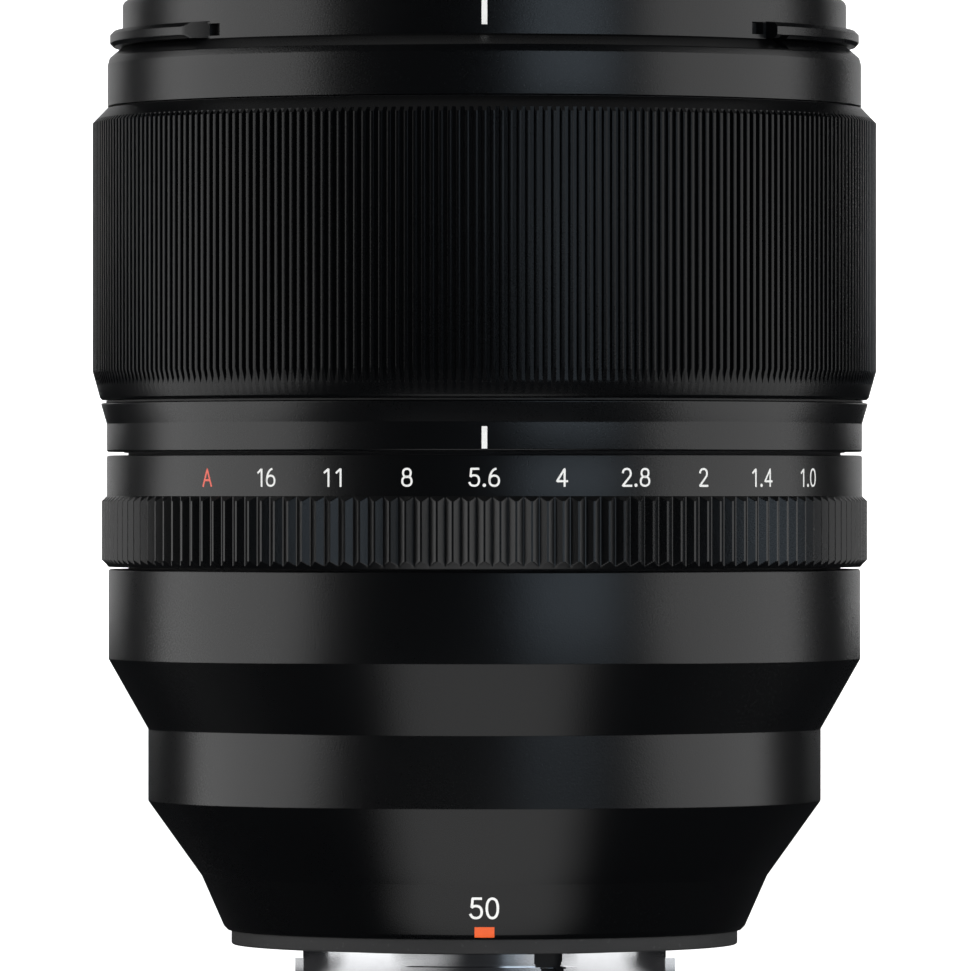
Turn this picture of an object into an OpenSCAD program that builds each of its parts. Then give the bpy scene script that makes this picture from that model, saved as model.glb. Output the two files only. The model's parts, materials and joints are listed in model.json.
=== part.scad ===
// Autofocus prime lens with an aperture ring, built as an assembly.
// Frame: millimetres, origin at the centre of the mount flange plane, +Z along the optical axis
// to the front. Dial angles are seen from the side: 0 faces -Y, and positive turns towards +X.

/* [Barrel] */
// Radius of the focus ring over its ribs
focus_r = 43.5; // [43.4:0.05:43.7]
// Height of the focus ring's full-width part
focus_land_h = 27.5; // [26:0.5:28.5]
// Radius of the front barrel at the filter thread
front_r = 40.17; // [40:0.05:40.3]
// Radius of the rear barrel behind the aperture ring
rear_r = 41.73; // [41.5:0.05:41.9]
// Radius of the waist, where a hand holds the lens
waist_r = 37.33; // [37:0.05:37.6]
// Height of the front rim above the flange
front_z = 103.5; // [103.2:0.1:104]

/* [Grips] */
// Number of ribs round the focus ring
focus_ribs = 290; // [250:2:300]
// Depth of the valleys between focus ribs
focus_rib_depth = 0.45; // [0.3:0.05:0.5]
// Number of ridges round the aperture ring
aperture_ridges = 156; // [120:2:160]
// Depth of the valleys between aperture ridges
aperture_ridge_depth = 0.5; // [0.3:0.05:0.6]

/* [Filter thread and hood bayonet] */
// Bore radius of the filter thread
filter_r = 38.1; // [38:0.05:38.2]
// Depth of the filter thread
filter_depth = 4.5; // [4:0.1:4.8]
// Radius over the hood bayonet ribs
hood_rib_r = 41.58; // [41.2:0.05:41.7]

/* [Mount] */
// Outer radius of the bayonet tube
mount_tube_r = 20.15; // [20:0.05:20.3]
// Radius over the bayonet lugs
mount_lug_r = 21.6; // [21.4:0.05:21.8]
// Length of the bayonet tube behind the flange
mount_tube_h = 5.2; // [5:0.1:5.6]
// Radius of the bayonet plate
mount_plate_r = 26.7; // [26.5:0.05:26.75]
// Radius of the rubber mount seal
seal_r = 28.085; // [28:0.02:28.2]

/* [Aperture] */
// Angle from one marked stop to the next
stop_pitch = 11.45; // [11:0.05:11.5]
// Radius of the opening in the iris base plate
iris_opening_r = 20.6; // [20:0.1:20.8]
// Number of iris blades
blade_count = 9; // [9:1:9]
// Angle that a blade turns from wide open to closed
blade_turn = 34.7; // [20:0.5:34.7]
// Degrees that the drive ring turns for one degree of a blade
drive_share = 0.7; // [0.7:0.05:0.7]

/* [Focus drive] */
// Travel of the focus group
focus_travel = 6; // [4:0.5:6]
// Angle that the cam ring turns over that travel
cam_turn = 60; // [50:5:60]
// Teeth of the cam ring's gear
cam_teeth = 120; // [120:1:120]
// Teeth of the focus motor's pinion
focus_pinion_teeth = 12; // [12:1:12]

/* [Hidden] */
$fn = 96;

// Clearance between faces that turn or slide past each other, and between faces that sit together
run_gap = 0.3;
seat_gap = 0.05;
// Amount by which a cutting solid reaches past the face that it opens
over = 0.5;

// Front barrel: hood ribs, wide skirt and the seats inside the rim
hood_rib_low_z = 98.3;
hood_rib_top_z = 100.1;
skirt_r = 41.83;
skirt_top_z = 96.8;
name_ring_low_z = 96.4;
name_ring_top_z = 98.3;
name_ring_r = filter_r - 0.6;
thread_top_z = front_z - 0.6;
thread_low_z = thread_top_z - filter_depth;

// Heights of the outer rings
shoulder_z = 98.1;
focus_top_z = 91.48;
focus_low_z = 59.15;
index_top_z = 58.8;
index_low_z = 53.4;
aperture_top_z = 53.0;
aperture_low_z = 40.65;
rear_top_z = 40.4;
barrel_foot_z = 0.42;
focus_land_top_z = 89.83;
focus_land_low_z = focus_land_top_z - focus_land_h;

// Radii and bands of the rings between the shoulders
plain_band_r = 41.93;
aperture_grip_r = 42.49;
aperture_grip_top_z = 48.6;
code_band_t = 0.25;
focus_band_low_z = 84.5;
focus_band_h = 4;
aperture_band_low_z = 50;
aperture_band_h = 2;

// Radii of the fixed tube that the outer rings turn on
tube_rear_r = 39.55;
tube_mid_r = 40;
tube_front_r = 41.2;
tube_bore_r = 38.3;
tube_wide_bore_r = 39.3;
tube_low_z = 33.5;
tube_top_z = 91.6;
deck_low_z = 55.2;
deck_top_z = 56.9;
ledge_low_z = 83.2;
ledge_top_z = 84.4;
ledge_bore_r = 36.5;
focus_bore_r = tube_front_r + run_gap;
aperture_bore_r = tube_rear_r + run_gap;

// Angles and heights of the small parts on the fixed tube
barrel_screw_angles = [30, 150, 270];
barrel_screw_z = 37;
click_z = 46;
sensor_angle = 150;
sensor_low_z = 85;
sensor_top_z = 88;

// Mount
flange_t = 1.6;
floor_top_z = 4.5;
floor_bore_r = 19.2;
mount_bore_r = 18.6;
lug_top_z = -2.97;
lug_h = 1.7;
mount_screw_r = 23.7;
mount_screw_angles = [45, 135, 225, 315];
lug_spans = [[-25.3, 28.2], [-140, -102], [100, 140]];
seal_low_z = -1.2;
bar_w = 2.15;
bar_inner_r = 28.2;
bar_low_z = 0.57;
bar_top_z = 1.77;

// Circuit board on its posts
board_post_r = 27.9;
board_posts = [60, 180, 300];
board_z = 10;

// Iris: heights of its layers, and the pivots and pins of the blades
iris_floor_z = 57;
iris_floor_t = 1.2;
iris_plate_r = 37;
blade_z = 58.35;
blade_t = 0.1;
blade_step = 0.15;
blade_inner_r = 21;
blade_outer_r = 31.5;
blade_span = 100;
pivot_r = 33;
pin_offset = 4;
pin_r = 0.5;
drive_z = 60;
drive_t = 0.8;
drive_inner_r = 29.8;
cover_z = 61.1;
cover_t = 0.8;
iris_module = 0.4;
iris_pinion_teeth = 8;
drive_teeth = 176;
drive_pitch_r = iris_module * drive_teeth / 2;
iris_pinion_r = iris_module * iris_pinion_teeth / 2;
iris_shaft_r = 0.5;
iris_motor_r = 2.2;
iris_drive_angle = 200;
iris_axle_r = drive_pitch_r + iris_pinion_r;
slot_steps = 12;
slot_half_w = pin_r + 0.09;

// Focus drive: guide barrel, cam ring and motor
guide_bore_r = 25.2;
guide_r = 26.45;
guide_low_z = 27.5;
guide_flange_z = 53.6;
guide_flange_t = 1.5;
cam_inner_r = guide_r + run_gap;
cam_r = 28.2;
cam_low_z = 29;
cam_top_z = 50;
cam_module = 0.5;
cam_gear_t = 2.5;
cam_pitch_r = cam_module * cam_teeth / 2;
follower_r = 1.5;
follower_z = 36;
follower_end_r = 28;
follower_gap = 0.12;
focus_pinion_r = cam_module * focus_pinion_teeth / 2;
focus_axle_r = cam_pitch_r + focus_pinion_r;
focus_motor_r = 4.5;
focus_motor_z = tube_low_z;
focus_motor_h = 19;
focus_drive_angle = 65;
focus_shaft_r = 0.9;
cell_r = guide_bore_r - run_gap;
cell_low_z = 28;
cell_top_z = 48;
cam_steps = 8;
cam_slope = atan(focus_travel / (cam_turn * PI / 180 * (cam_inner_r + cam_r) / 2));

// Optics: rim radii of the elements from front to rear, and the slip fit of a rim in its cell
front_rim_r = [32.5, 29.5, 25];
focus_rim_r = [22.5, 20.5];
rear_rim_r = [20.5, 17.5];
lens_fit = 0.05;

// Centre of the contact block, behind the lens as seen from the index
contact_angle = 180;
contact_count = 10;
contact_pitch = 7.6;

black = [0.06, 0.06, 0.065];
dark = [0.12, 0.12, 0.13];
chrome = [0.82, 0.83, 0.85];
rubber = [0.2, 0.2, 0.2];
glass = [0.55, 0.65, 0.75, 0.6];
steel = [0.6, 0.61, 0.63];
gold = [0.85, 0.68, 0.3];
brass = [0.8, 0.65, 0.35];

// ---- Shared shapes ----

// Turns its children from the +X axis to a dial angle.
module at_dial(angle) rotate([0, 0, angle - 90]) children();

// A tube between two radii and two heights.
module tube(outer, inner, low, top) translate([0, 0, low]) difference() {
    cylinder(r = outer, h = top - low);
    translate([0, 0, -over]) cylinder(r = inner, h = top - low + 2 * over);
}

// A solid of revolution from a list of [radius, height] points.
module turned(points) rotate_extrude() polygon(points);

// A block that stands across a radius, given by its inner and outer radius, width and heights.
module radial_block(inner, outer, width, low, top)
    translate([inner, -width / 2, low]) cube([outer - inner, width, top - low]);

// A radial pin or hole.
module radial_pin(inner, outer, r, z) translate([inner, 0, z]) rotate([0, 90, 0])
    cylinder(r = r, h = outer - inner);

// Outline of a wheel whose rim rises and falls evenly: crests take crest_share of each pitch.
function rib_outline(count, crest_r, valley_r, crest_share) = [
    for (i = [0 : count - 1], side = [-1, 1, 0])
        let (shift = side == 0 ? 0.5 : side * crest_share / 2,
             angle = (i + shift) * 360 / count,
             r = side == 0 ? valley_r : crest_r)
        [r * cos(angle), r * sin(angle)]];

// Outline of one gear tooth with straight flanks: height in modules, and angle as a share of a pitch.
function tooth(pitch_r, module_size, teeth, angle) = [
    for (p = [[-1.25, -0.30], [0, -0.21], [0.9, -0.11], [0.9, 0.11], [0, 0.21], [-1.25, 0.30]])
        let (r = pitch_r + p[0] * module_size, a = angle + p[1] * 360 / teeth)
        [r * cos(a), r * sin(a)]];

// Outline of a whole spur gear, its first tooth at the given angle.
function gear_outline(pitch_r, module_size, teeth, first) = [
    for (i = [0 : teeth - 1])
        for (p = tooth(pitch_r, module_size, teeth, first + i * 360 / teeth)) p];

// A slice of a disc between two angles, as an outline.
function pie(r, from, to) = concat([[0, 0]],
    [for (i = [0 : 12]) let (a = from + (to - from) * i / 12) [r * cos(a), r * sin(a)]]);

// A lens element: its front and back vertices and radii. A radius under 0 is hollow, 0 is flat.
module lens_element(r, front, front_curve, back, back_curve) difference() {
    intersection() {
        translate([0, 0, back - r]) cylinder(r = r, h = front - back + 2 * r);
        if (front_curve > 0) translate([0, 0, front - front_curve]) sphere(r = front_curve, $fn = 160);
        else translate([0, 0, back - 2 * r]) cylinder(r = 2 * r,
            h = front - back + 2 * r + (front_curve < 0 ? r : 0));
        if (back_curve > 0) translate([0, 0, back + back_curve]) sphere(r = back_curve, $fn = 160);
        else translate([0, 0, back_curve < 0 ? back - r / 2 : back]) cylinder(r = 2 * r, h = 4 * r);
    }
    if (front_curve < 0) translate([0, 0, front - front_curve]) sphere(r = -front_curve, $fn = 160);
    if (back_curve < 0) translate([0, 0, back + back_curve]) sphere(r = -back_curve, $fn = 160);
}

// ---- Outer barrel ----

// One rib of the hood bayonet between two dial angles.
module hood_rib(from, to) rotate([0, 0, from - 90]) rotate_extrude(angle = to - from)
    polygon([[front_r - 0.3, hood_rib_low_z], [hood_rib_r - 0.4, hood_rib_low_z],
             [hood_rib_r, hood_rib_low_z + 0.4], [hood_rib_r, hood_rib_top_z - 0.5],
             [hood_rib_r - 0.5, hood_rib_top_z], [front_r - 0.3, hood_rib_top_z]]);

// Cuts the end of a rib to an inclined lead that rises from one dial angle to another.
module hood_lead_cut(from, to) translate([0, 0, hood_rib_low_z - over])
    linear_extrude(hood_rib_top_z - hood_rib_low_z + 2 * over)
        polygon([for (p = [[from + 1, front_r + 0.08], [from, front_r + 0.08], [to, hood_rib_r + 0.06],
                           [to, hood_rib_r + 1.5], [from + 1, hood_rib_r + 1.5]])
            [p[1] * sin(p[0]), -p[1] * cos(p[0])]]);

module front_barrel() color(black) {
    rim = 0.8;
    foot_z = focus_top_z + 0.16;
    spigot_r = tube_wide_bore_r - 0.1;
    difference() {
        union() {
            // Ledge and seat of the name ring, thread bore, rim, skirt, and spigot into the fixed tube
            turned([[filter_r - 1.1, name_ring_low_z - 0.9], [filter_r - 1.1, name_ring_low_z],
                    [name_ring_r + seat_gap, name_ring_low_z], [name_ring_r + seat_gap, thread_low_z],
                    [filter_r, thread_low_z], [filter_r, thread_top_z], [filter_r + 0.6, front_z],
                    each [for (a = [0 : 22.5 : 90])
                        [front_r - rim + rim * sin(a), front_z - rim + rim * cos(a)]],
                    [front_r, shoulder_z], [skirt_r - 0.45, skirt_top_z + 0.75],
                    [skirt_r - 0.1, skirt_top_z + 0.35], [skirt_r, skirt_top_z], [skirt_r, foot_z],
                    [spigot_r, foot_z], [spigot_r, ledge_top_z + seat_gap],
                    [tube_bore_r, ledge_top_z + seat_gap], [tube_bore_r, name_ring_low_z - 0.9]]);
            difference() {
                hood_rib(-130, -48);
                hood_lead_cut(-48, -52.2);
            }
            hood_rib(49.7, 130);
        }
        // Stop holes beside the ribs, where the hood's catches come to rest
        at_dial(-46.85) radial_block(front_r - 1, front_r + 1, 1.6, 98.56, 99.83);
        at_dial(47.8) radial_block(front_r - 1, front_r + 1, 1.7, 98.7, 100);
        at_dial(52) radial_block(front_r - 0.6, front_r + 2, 1.1, 97.35, 98.6);
    }
}

module name_ring() color(black)
    turned([[32.9, name_ring_low_z + seat_gap], [name_ring_r, name_ring_low_z + seat_gap],
            [name_ring_r, name_ring_top_z], [name_ring_r - 0.5, name_ring_top_z],
            [33.6, name_ring_low_z + 0.5], [33, name_ring_low_z + 0.35]]);

module index_ring() color(dark)
    turned([[tube_mid_r + seat_gap, index_low_z], [plain_band_r - 0.2, index_low_z],
            [plain_band_r, index_low_z + 0.2], [plain_band_r, 56.5], [42.6, index_top_z - 0.15],
            [42.45, index_top_z],
            [tube_mid_r + seat_gap, index_top_z]]);

module main_barrel() color(dark) difference() {
    turned([[tube_bore_r, tube_low_z], [tube_rear_r, tube_low_z], [tube_rear_r, index_low_z - 0.1],
            [tube_mid_r, index_low_z - 0.1], [tube_mid_r, index_top_z + seat_gap],
            [tube_front_r, index_top_z + seat_gap], [tube_front_r, tube_top_z],
            [tube_wide_bore_r, tube_top_z], [tube_wide_bore_r, ledge_top_z],
            [ledge_bore_r, ledge_top_z], [ledge_bore_r, ledge_low_z], [tube_wide_bore_r, ledge_low_z],
            [tube_wide_bore_r, index_top_z + 0.3], [tube_bore_r, index_top_z + 0.3],
            [tube_bore_r, deck_top_z], [30, deck_top_z], [30, deck_low_z], [tube_bore_r, deck_low_z]]);
    at_dial(contact_angle) radial_pin(tube_bore_r - over, tube_rear_r + over, 0.75, click_z);
    for (a = barrel_screw_angles) at_dial(a)
        radial_pin(tube_bore_r - over, tube_rear_r + over, 0.65, barrel_screw_z);
    at_dial(sensor_angle)
        radial_block(tube_wide_bore_r - 1, tube_front_r + over, 6.2, sensor_low_z - 0.1,
                     sensor_top_z + 0.1);
}

module rear_barrel() color(black) difference() {
    union() {
        difference() {
            turned([[floor_bore_r, barrel_foot_z], [27.94, barrel_foot_z], [28.65, barrel_foot_z + 0.29],
                    [28.94, barrel_foot_z + 1], [31.39, 6.42], [waist_r, 14.72], [waist_r, 22.69],
                    [rear_r, 30.44], [rear_r, rear_top_z - 0.2], [rear_r - 0.2, rear_top_z],
                    [floor_bore_r, rear_top_z]]);
            // Inside: floor, cones that follow the outside, and the seat of the fixed tube
            turned([[0, floor_top_z], [28.2, floor_top_z], [29.8, 6.9], [waist_r - 1.5, 15.1],
                    [waist_r - 1.5, 22.5], [37.3, 25.6], [37.3, tube_low_z - 0.05],
                    [tube_rear_r + seat_gap, tube_low_z - 0.05], [tube_rear_r + seat_gap, rear_top_z + 1],
                    [0, rear_top_z + 1]]);
        }
        for (a = board_posts) at_dial(a) translate([board_post_r, 0, floor_top_z - over])
            cylinder(r = 1.2, h = board_z - floor_top_z + over);
    }
    // Recess of the bayonet plate, groove of the seal and pocket of the index bar
    translate([0, 0, -over]) cylinder(r = mount_plate_r + seat_gap, h = flange_t + over);
    tube(27.85, 27.15, barrel_foot_z - over, 1.45);
    at_dial(0) radial_block(bar_inner_r - seat_gap, 31, bar_w + 2 * seat_gap, bar_low_z, bar_top_z);
    for (a = mount_screw_angles) at_dial(a) translate([mount_screw_r, 0, 0])
        cylinder(r = 1, h = floor_top_z + 1);
    for (a = barrel_screw_angles) at_dial(a) radial_pin(tube_rear_r - over, 41.1, 0.65, barrel_screw_z);
}

module mount_index_bar() color([0.85, 0.3, 0.1]) intersection() {
    at_dial(0) radial_block(bar_inner_r, 31, bar_w, bar_low_z, bar_top_z);
    cylinder(r = bar_inner_r + 1, h = 4, $fn = 360);
}

module mount_seal() color(rubber)
    turned([[mount_plate_r + 0.15, seal_low_z], [seal_r, seal_low_z], [seal_r, barrel_foot_z - 0.02],
            [27.8, barrel_foot_z - 0.02], [27.8, 1.4], [27.2, 1.4], [27.2, barrel_foot_z - 0.02],
            [mount_plate_r + 0.15, barrel_foot_z - 0.02]]);

module mount_plate() color(chrome) difference() {
    union() {
        turned([[mount_bore_r, -mount_tube_h], [mount_tube_r - 0.3, -mount_tube_h],
                [mount_tube_r, -mount_tube_h + 0.3], [mount_tube_r, -1.6], [mount_tube_r + 0.3, -1.3],
                [mount_tube_r + 0.3, 0], [mount_plate_r, 0], [mount_plate_r, flange_t],
                [mount_bore_r, flange_t]]);
        for (span = lug_spans) rotate([0, 0, span[0] - 90]) rotate_extrude(angle = span[1] - span[0])
            polygon([[mount_tube_r - 0.5, lug_top_z - lug_h], [mount_lug_r - 0.2, lug_top_z - lug_h],
                     [mount_lug_r, lug_top_z - lug_h + 0.2], [mount_lug_r, lug_top_z],
                     [mount_tube_r - 0.5, lug_top_z]]);
    }
    // Relief in the tube wall, screw holes with countersinks, and the hole for the lock pin
    at_dial(20.2) translate([mount_bore_r + 0.6, 0, 0]) {
        translate([0, -1.6, -2.1]) cube([4, 3.2, 2.1]);
        translate([0, -0.8, -2.9]) cube([4, 1.6, 1.2]);
        for (y = [-0.8, 0.8]) translate([0, y, -2.1]) rotate([0, 90, 0]) cylinder(r = 0.8, h = 4);
    }
    for (a = mount_screw_angles) at_dial(a) translate([mount_screw_r, 0, 0]) {
        translate([0, 0, -over]) cylinder(r = 1.05, h = flange_t + 2 * over);
        translate([0, 0, -0.01]) cylinder(r1 = 2.0, r2 = 1.05, h = 1);
    }
    at_dial(-75) translate([mount_screw_r, 0, -over]) cylinder(r = 1.5, h = 1.2 + over);
}

module mount_screws() color(steel) for (a = mount_screw_angles) at_dial(a)
    translate([mount_screw_r, 0, 0]) difference() {
        union() {
            cylinder(r1 = 1.9, r2 = 0.95, h = 1);
            cylinder(r = 0.95, h = 4.3);
        }
        for (turn = [0, 90]) rotate([0, 0, turn])
            translate([-0.95, -0.2, -0.1]) cube([1.9, 0.4, 0.6]);
    }

module contact_block() color(black) at_dial(contact_angle) rotate([0, 0, -42]) rotate_extrude(angle = 84)
    polygon([[15.2, -4.4], [17, -4.4], [17, -3.6], [18.3, -3.6], [18.3, 1.4], [15.2, 1.4]]);

module contact_pads() color(gold) for (i = [0 : contact_count - 1])
    at_dial(contact_angle + (i - (contact_count - 1) / 2) * contact_pitch)
        translate([16.1, 0, -4.9]) cylinder(r = 0.55, h = 0.5, $fn = 24);

module rear_baffle() color(black) difference() {
    translate([0, 0, 1.7]) cylinder(r = 18.5, h = 1);
    linear_extrude(5) for (size = [[27, 15], [23, 19]]) square(size, center = true);
    for (x = [-11.5, 11.5], y = [-7.5, 7.5]) translate([x, y, 0]) cylinder(r = 2, h = 5);
}

// ---- Optics ----

module front_cell() color(black)
    turned([[front_rim_r[2] - 1.4, 62.1], [front_rim_r[2] - 1.4, 62.7], [front_rim_r[2] + lens_fit, 62.7],
            [front_rim_r[2] + lens_fit, 73.9], [front_rim_r[1] + lens_fit, 73.9],
            [front_rim_r[1] + lens_fit, 86.1], [front_rim_r[0] + lens_fit, 86.1],
            [front_rim_r[0] + lens_fit, 89], [34.4, 89], [34.4, 96.2], [ledge_bore_r - 0.1, 96.2],
            [ledge_bore_r - 0.1, 88], [tube_bore_r - 0.1, 88], [tube_bore_r - 0.1, ledge_top_z + 0.1],
            [34, ledge_top_z + 0.1], [34, 62.1]]);

module front_retainer() color(dark) difference() {
    turned([[31.9, 89.2], [34.35, 89.2], [34.35, 91.2], [32.3, 91.2], [31.9, 90.8]]);
    for (a = [0, 180]) rotate([0, 0, a]) translate([31, -0.6, 90.4]) cube([4, 1.2, 2]);
}

module front_spacer() color(black) tube(front_rim_r[1], front_rim_r[1] - 1.2, 77.85, 86.1);

module front_element_1() color(glass) lens_element(front_rim_r[0], 96.2, 75, 86.2, 0);
module front_element_2() color(glass) lens_element(front_rim_r[1], 84.8, 60, 78, -110);
module front_element_3() color(glass) lens_element(front_rim_r[2], 73.5, 55, 66.4, 0);
module front_element_4() color(glass) lens_element(front_rim_r[2], 66.38, 0, 64.9, -150);

module rear_cell() color(black)
    turned([[rear_rim_r[1] - 1, 3.6], [floor_bore_r - 0.1, 3.6],
            [floor_bore_r - 0.1, floor_top_z + seat_gap], [26.5, floor_top_z + seat_gap],
            [26.5, 6], [23.5, 6], [23.5, 27.4],
            [rear_rim_r[0] + lens_fit, 27.4], [rear_rim_r[0] + lens_fit, 17.9],
            [rear_rim_r[1] + lens_fit, 17.9], [rear_rim_r[1] + lens_fit, 5], [rear_rim_r[1] - 1, 5]]);

module rear_element_1() color(glass) lens_element(rear_rim_r[0], 22.5, -50, 16, 80);
module rear_element_2() color(glass) lens_element(rear_rim_r[1], 10.4, 60, 3.9, 120);

// ---- Iris ----

module iris_base_plate() color(dark) difference() {
    union() {
        tube(iris_plate_r, iris_opening_r, iris_floor_z, iris_floor_z + iris_floor_t);
        tube(iris_plate_r, iris_plate_r - 0.9, iris_floor_z + 0.1, cover_z - seat_gap);
    }
    for (i = [0 : blade_count - 1]) rotate([0, 0, i * 360 / blade_count])
        translate([pivot_r, 0, iris_floor_z - over])
            cylinder(r = pin_r + 0.05, h = iris_floor_t + 2 * over, $fn = 24);
    rotate([0, 0, iris_drive_angle]) translate([iris_axle_r, 0, drive_z - 0.4])
        cylinder(r = 2.6, h = 3);
}

module iris_cover() color(dark) difference() {
    union() {
        tube(iris_plate_r, 21.5, cover_z, cover_z + cover_t);
        tube(drive_inner_r - run_gap, 28.4, drive_z - 0.05, cover_z + 0.1);
    }
    rotate([0, 0, iris_drive_angle]) translate([iris_axle_r, 0, cover_z - over])
        cylinder(r = 0.8, h = 3);
}

module iris_motor() color(steel) rotate([0, 0, iris_drive_angle])
    translate([iris_axle_r, 0, cover_z + cover_t + seat_gap]) difference() {
        union() {
            cylinder(r = iris_motor_r, h = 8);
            translate([0, 0, 8]) cylinder(r = 1.2, h = 0.8);
        }
        translate([0, 0, -over]) cylinder(r = iris_shaft_r + 0.1, h = 3.5);
    }

// Place of a blade's drive pin when the blade has turned by b degrees.
function drive_pin_at(b) = [pivot_r - pin_offset * sin(b), pin_offset * cos(b)];

// The same place as the drive ring sees it: the ring has turned by drive_share of b.
function slot_point(b) = let (p = drive_pin_at(b), a = -drive_share * b)
    [p[0] * cos(a) - p[1] * sin(a), p[0] * sin(a) + p[1] * cos(a)];

// Edge of a drive slot: the pin's path moved sideways by half the slot's width.
function slot_edge(side) = [for (i = [0 : slot_steps])
    let (b = blade_turn * i / slot_steps, p = slot_point(b), q = slot_point(b + 0.5),
         along = (q - p) / norm(q - p))
    p + side * slot_half_w * [-along[1], along[0]]];

module drive_slot() translate([0, 0, drive_z - over]) linear_extrude(drive_t + 2 * over) {
    polygon(concat(slot_edge(1), [for (i = [slot_steps : -1 : 0]) slot_edge(-1)[i]]));
    for (b = [0, blade_turn]) translate(slot_point(b)) circle(r = slot_half_w, $fn = 32);
}

module iris_drive_ring() color(steel) difference() {
    union() {
        tube(drive_pitch_r - 1.2 * iris_module, drive_inner_r, drive_z, drive_z + drive_t);
        // Toothed sector that the pinion runs along, with a few teeth to spare at both ends
        translate([0, 0, drive_z]) linear_extrude(drive_t)
            for (i = [-round((drive_share * blade_turn + 6) * drive_teeth / 360) : 3])
                polygon(tooth(drive_pitch_r, iris_module, drive_teeth,
                              iris_drive_angle + i * 360 / drive_teeth));
    }
    for (i = [0 : blade_count - 1]) rotate([0, 0, i * 360 / blade_count]) drive_slot();
}

module iris_pinion() color(brass) rotate([0, 0, iris_drive_angle]) translate([iris_axle_r, 0, drive_z]) {
    linear_extrude(drive_t)
        polygon(gear_outline(iris_pinion_r, iris_module, iris_pinion_teeth, 180 + 180 / iris_pinion_teeth));
    cylinder(r = iris_shaft_r, h = 4.2, $fn = 24);
}

// One blade: a crescent with an ear, a pivot pin below it and a drive pin above it.
module iris_blade(i) color([0.25, 0.25, 0.27]) rotate([0, 0, i * 360 / blade_count]) {
    z = blade_z + i * blade_step;
    translate([0, 0, z]) linear_extrude(blade_t) {
        intersection() {
            difference() {
                circle(r = blade_outer_r);
                circle(r = blade_inner_r);
            }
            polygon(pie(2 * blade_outer_r, 0, blade_span));
        }
        rotate(blade_span) translate([(blade_inner_r + blade_outer_r) / 2, 0])
            circle(r = (blade_outer_r - blade_inner_r) / 2 - 0.15);
        intersection() {
            difference() {
                circle(r = pivot_r + 1.4);
                circle(r = blade_outer_r - 1);
            }
            polygon(pie(2 * blade_outer_r, -2.4, 9.2));
        }
    }
    translate([pivot_r, 0, iris_floor_z + 0.2])
        cylinder(r = pin_r, h = z - iris_floor_z - 0.2 + blade_t / 2, $fn = 24);
    translate([pivot_r, pin_offset, z + blade_t / 2])
        cylinder(r = pin_r, h = drive_z + 0.7 - z - blade_t / 2, $fn = 24);
}

// ---- Focus drive ----

module guide_barrel() color(dark) difference() {
    union() {
        tube(guide_r, guide_bore_r, guide_low_z, guide_flange_z + guide_flange_t);
        tube(37.5, guide_r - 0.5, guide_flange_z, guide_flange_z + guide_flange_t);
    }
    // Straight slots that keep the followers from turning
    for (a = [0, 120, 240]) rotate([0, 0, a]) {
        radial_block(guide_bore_r - 1, guide_r + 1, 2 * (follower_r + follower_gap), follower_z,
                     follower_z + focus_travel);
        for (z = [follower_z, follower_z + focus_travel])
            radial_pin(guide_bore_r - 1, guide_r + 1, follower_r + follower_gap, z);
    }
    // Circlip groove
    tube(guide_r + 1, guide_r - 0.5, 28.15, 28.8);
}

module cam_retaining_ring() color(steel) difference() {
    tube(27.9, guide_r - 0.45, 28.2, 28.7);
    radial_block(20, 30, 3, 28, 29);
}

// A helical slot: short straight cuts, each turned to the slope of the follower's path at its place.
module cam_slot() {
    half_w = follower_r + follower_gap;
    cut = cam_turn / cam_steps * PI / 180 * cam_r / cos(cam_slope) + 0.2;
    for (i = [0 : cam_steps - 1]) let (share = (i + 0.5) / cam_steps)
        rotate([0, 0, -cam_turn * share]) translate([cam_inner_r - 1, 0, follower_z + focus_travel * share])
            rotate([-cam_slope, 0, 0]) translate([0, -cut / 2, -half_w])
                cube([cam_r - cam_inner_r + 2, cut, 2 * half_w]);
    for (i = [0, 1]) rotate([0, 0, -cam_turn * i])
        radial_pin(cam_inner_r - 1, cam_r + 1, half_w, follower_z + focus_travel * i);
}

module focus_cam_ring() color(steel) difference() {
    union() {
        tube(cam_r, cam_inner_r, cam_low_z, cam_top_z);
        translate([0, 0, cam_low_z]) linear_extrude(cam_gear_t) difference() {
            polygon(gear_outline(cam_pitch_r, cam_module, cam_teeth, focus_drive_angle));
            circle(r = cam_r - 0.3);
        }
    }
    for (a = [0, 120, 240]) rotate([0, 0, a]) cam_slot();
}

module focus_pinion() color(brass) rotate([0, 0, focus_drive_angle])
    translate([focus_axle_r, 0, cam_low_z]) {
        linear_extrude(cam_gear_t)
            polygon(gear_outline(focus_pinion_r, cam_module, focus_pinion_teeth,
                                 180 + 180 / focus_pinion_teeth));
        cylinder(r = focus_shaft_r, h = 8, $fn = 32);
    }

module focus_motor() color(steel) rotate([0, 0, focus_drive_angle])
    translate([focus_axle_r, 0, focus_motor_z]) difference() {
        union() {
            cylinder(r = focus_motor_r, h = focus_motor_h);
            translate([0, 0, focus_motor_h])
                cylinder(r = 2.5, h = guide_flange_z - focus_motor_z - focus_motor_h - seat_gap);
        }
        translate([0, 0, -over]) cylinder(r = focus_shaft_r + 0.15, h = 5.5);
    }

module focus_cell() color(black) difference() {
    turned([[focus_rim_r[1] - 1, cell_low_z], [cell_r, cell_low_z], [cell_r, cell_top_z],
            [focus_rim_r[0] + lens_fit, cell_top_z], [focus_rim_r[0] + lens_fit, 32.4],
            [focus_rim_r[1] + lens_fit, 32.4], [focus_rim_r[1] + lens_fit, 28.55],
            [focus_rim_r[1] - 1, 28.55]]);
    for (a = [0, 120, 240]) rotate([0, 0, a]) radial_pin(22, 26, follower_r + 0.02, follower_z);
}

module focus_retainer() color(dark) tube(focus_rim_r[0], focus_rim_r[0] - 1.2, 41.8, 43.2);

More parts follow.
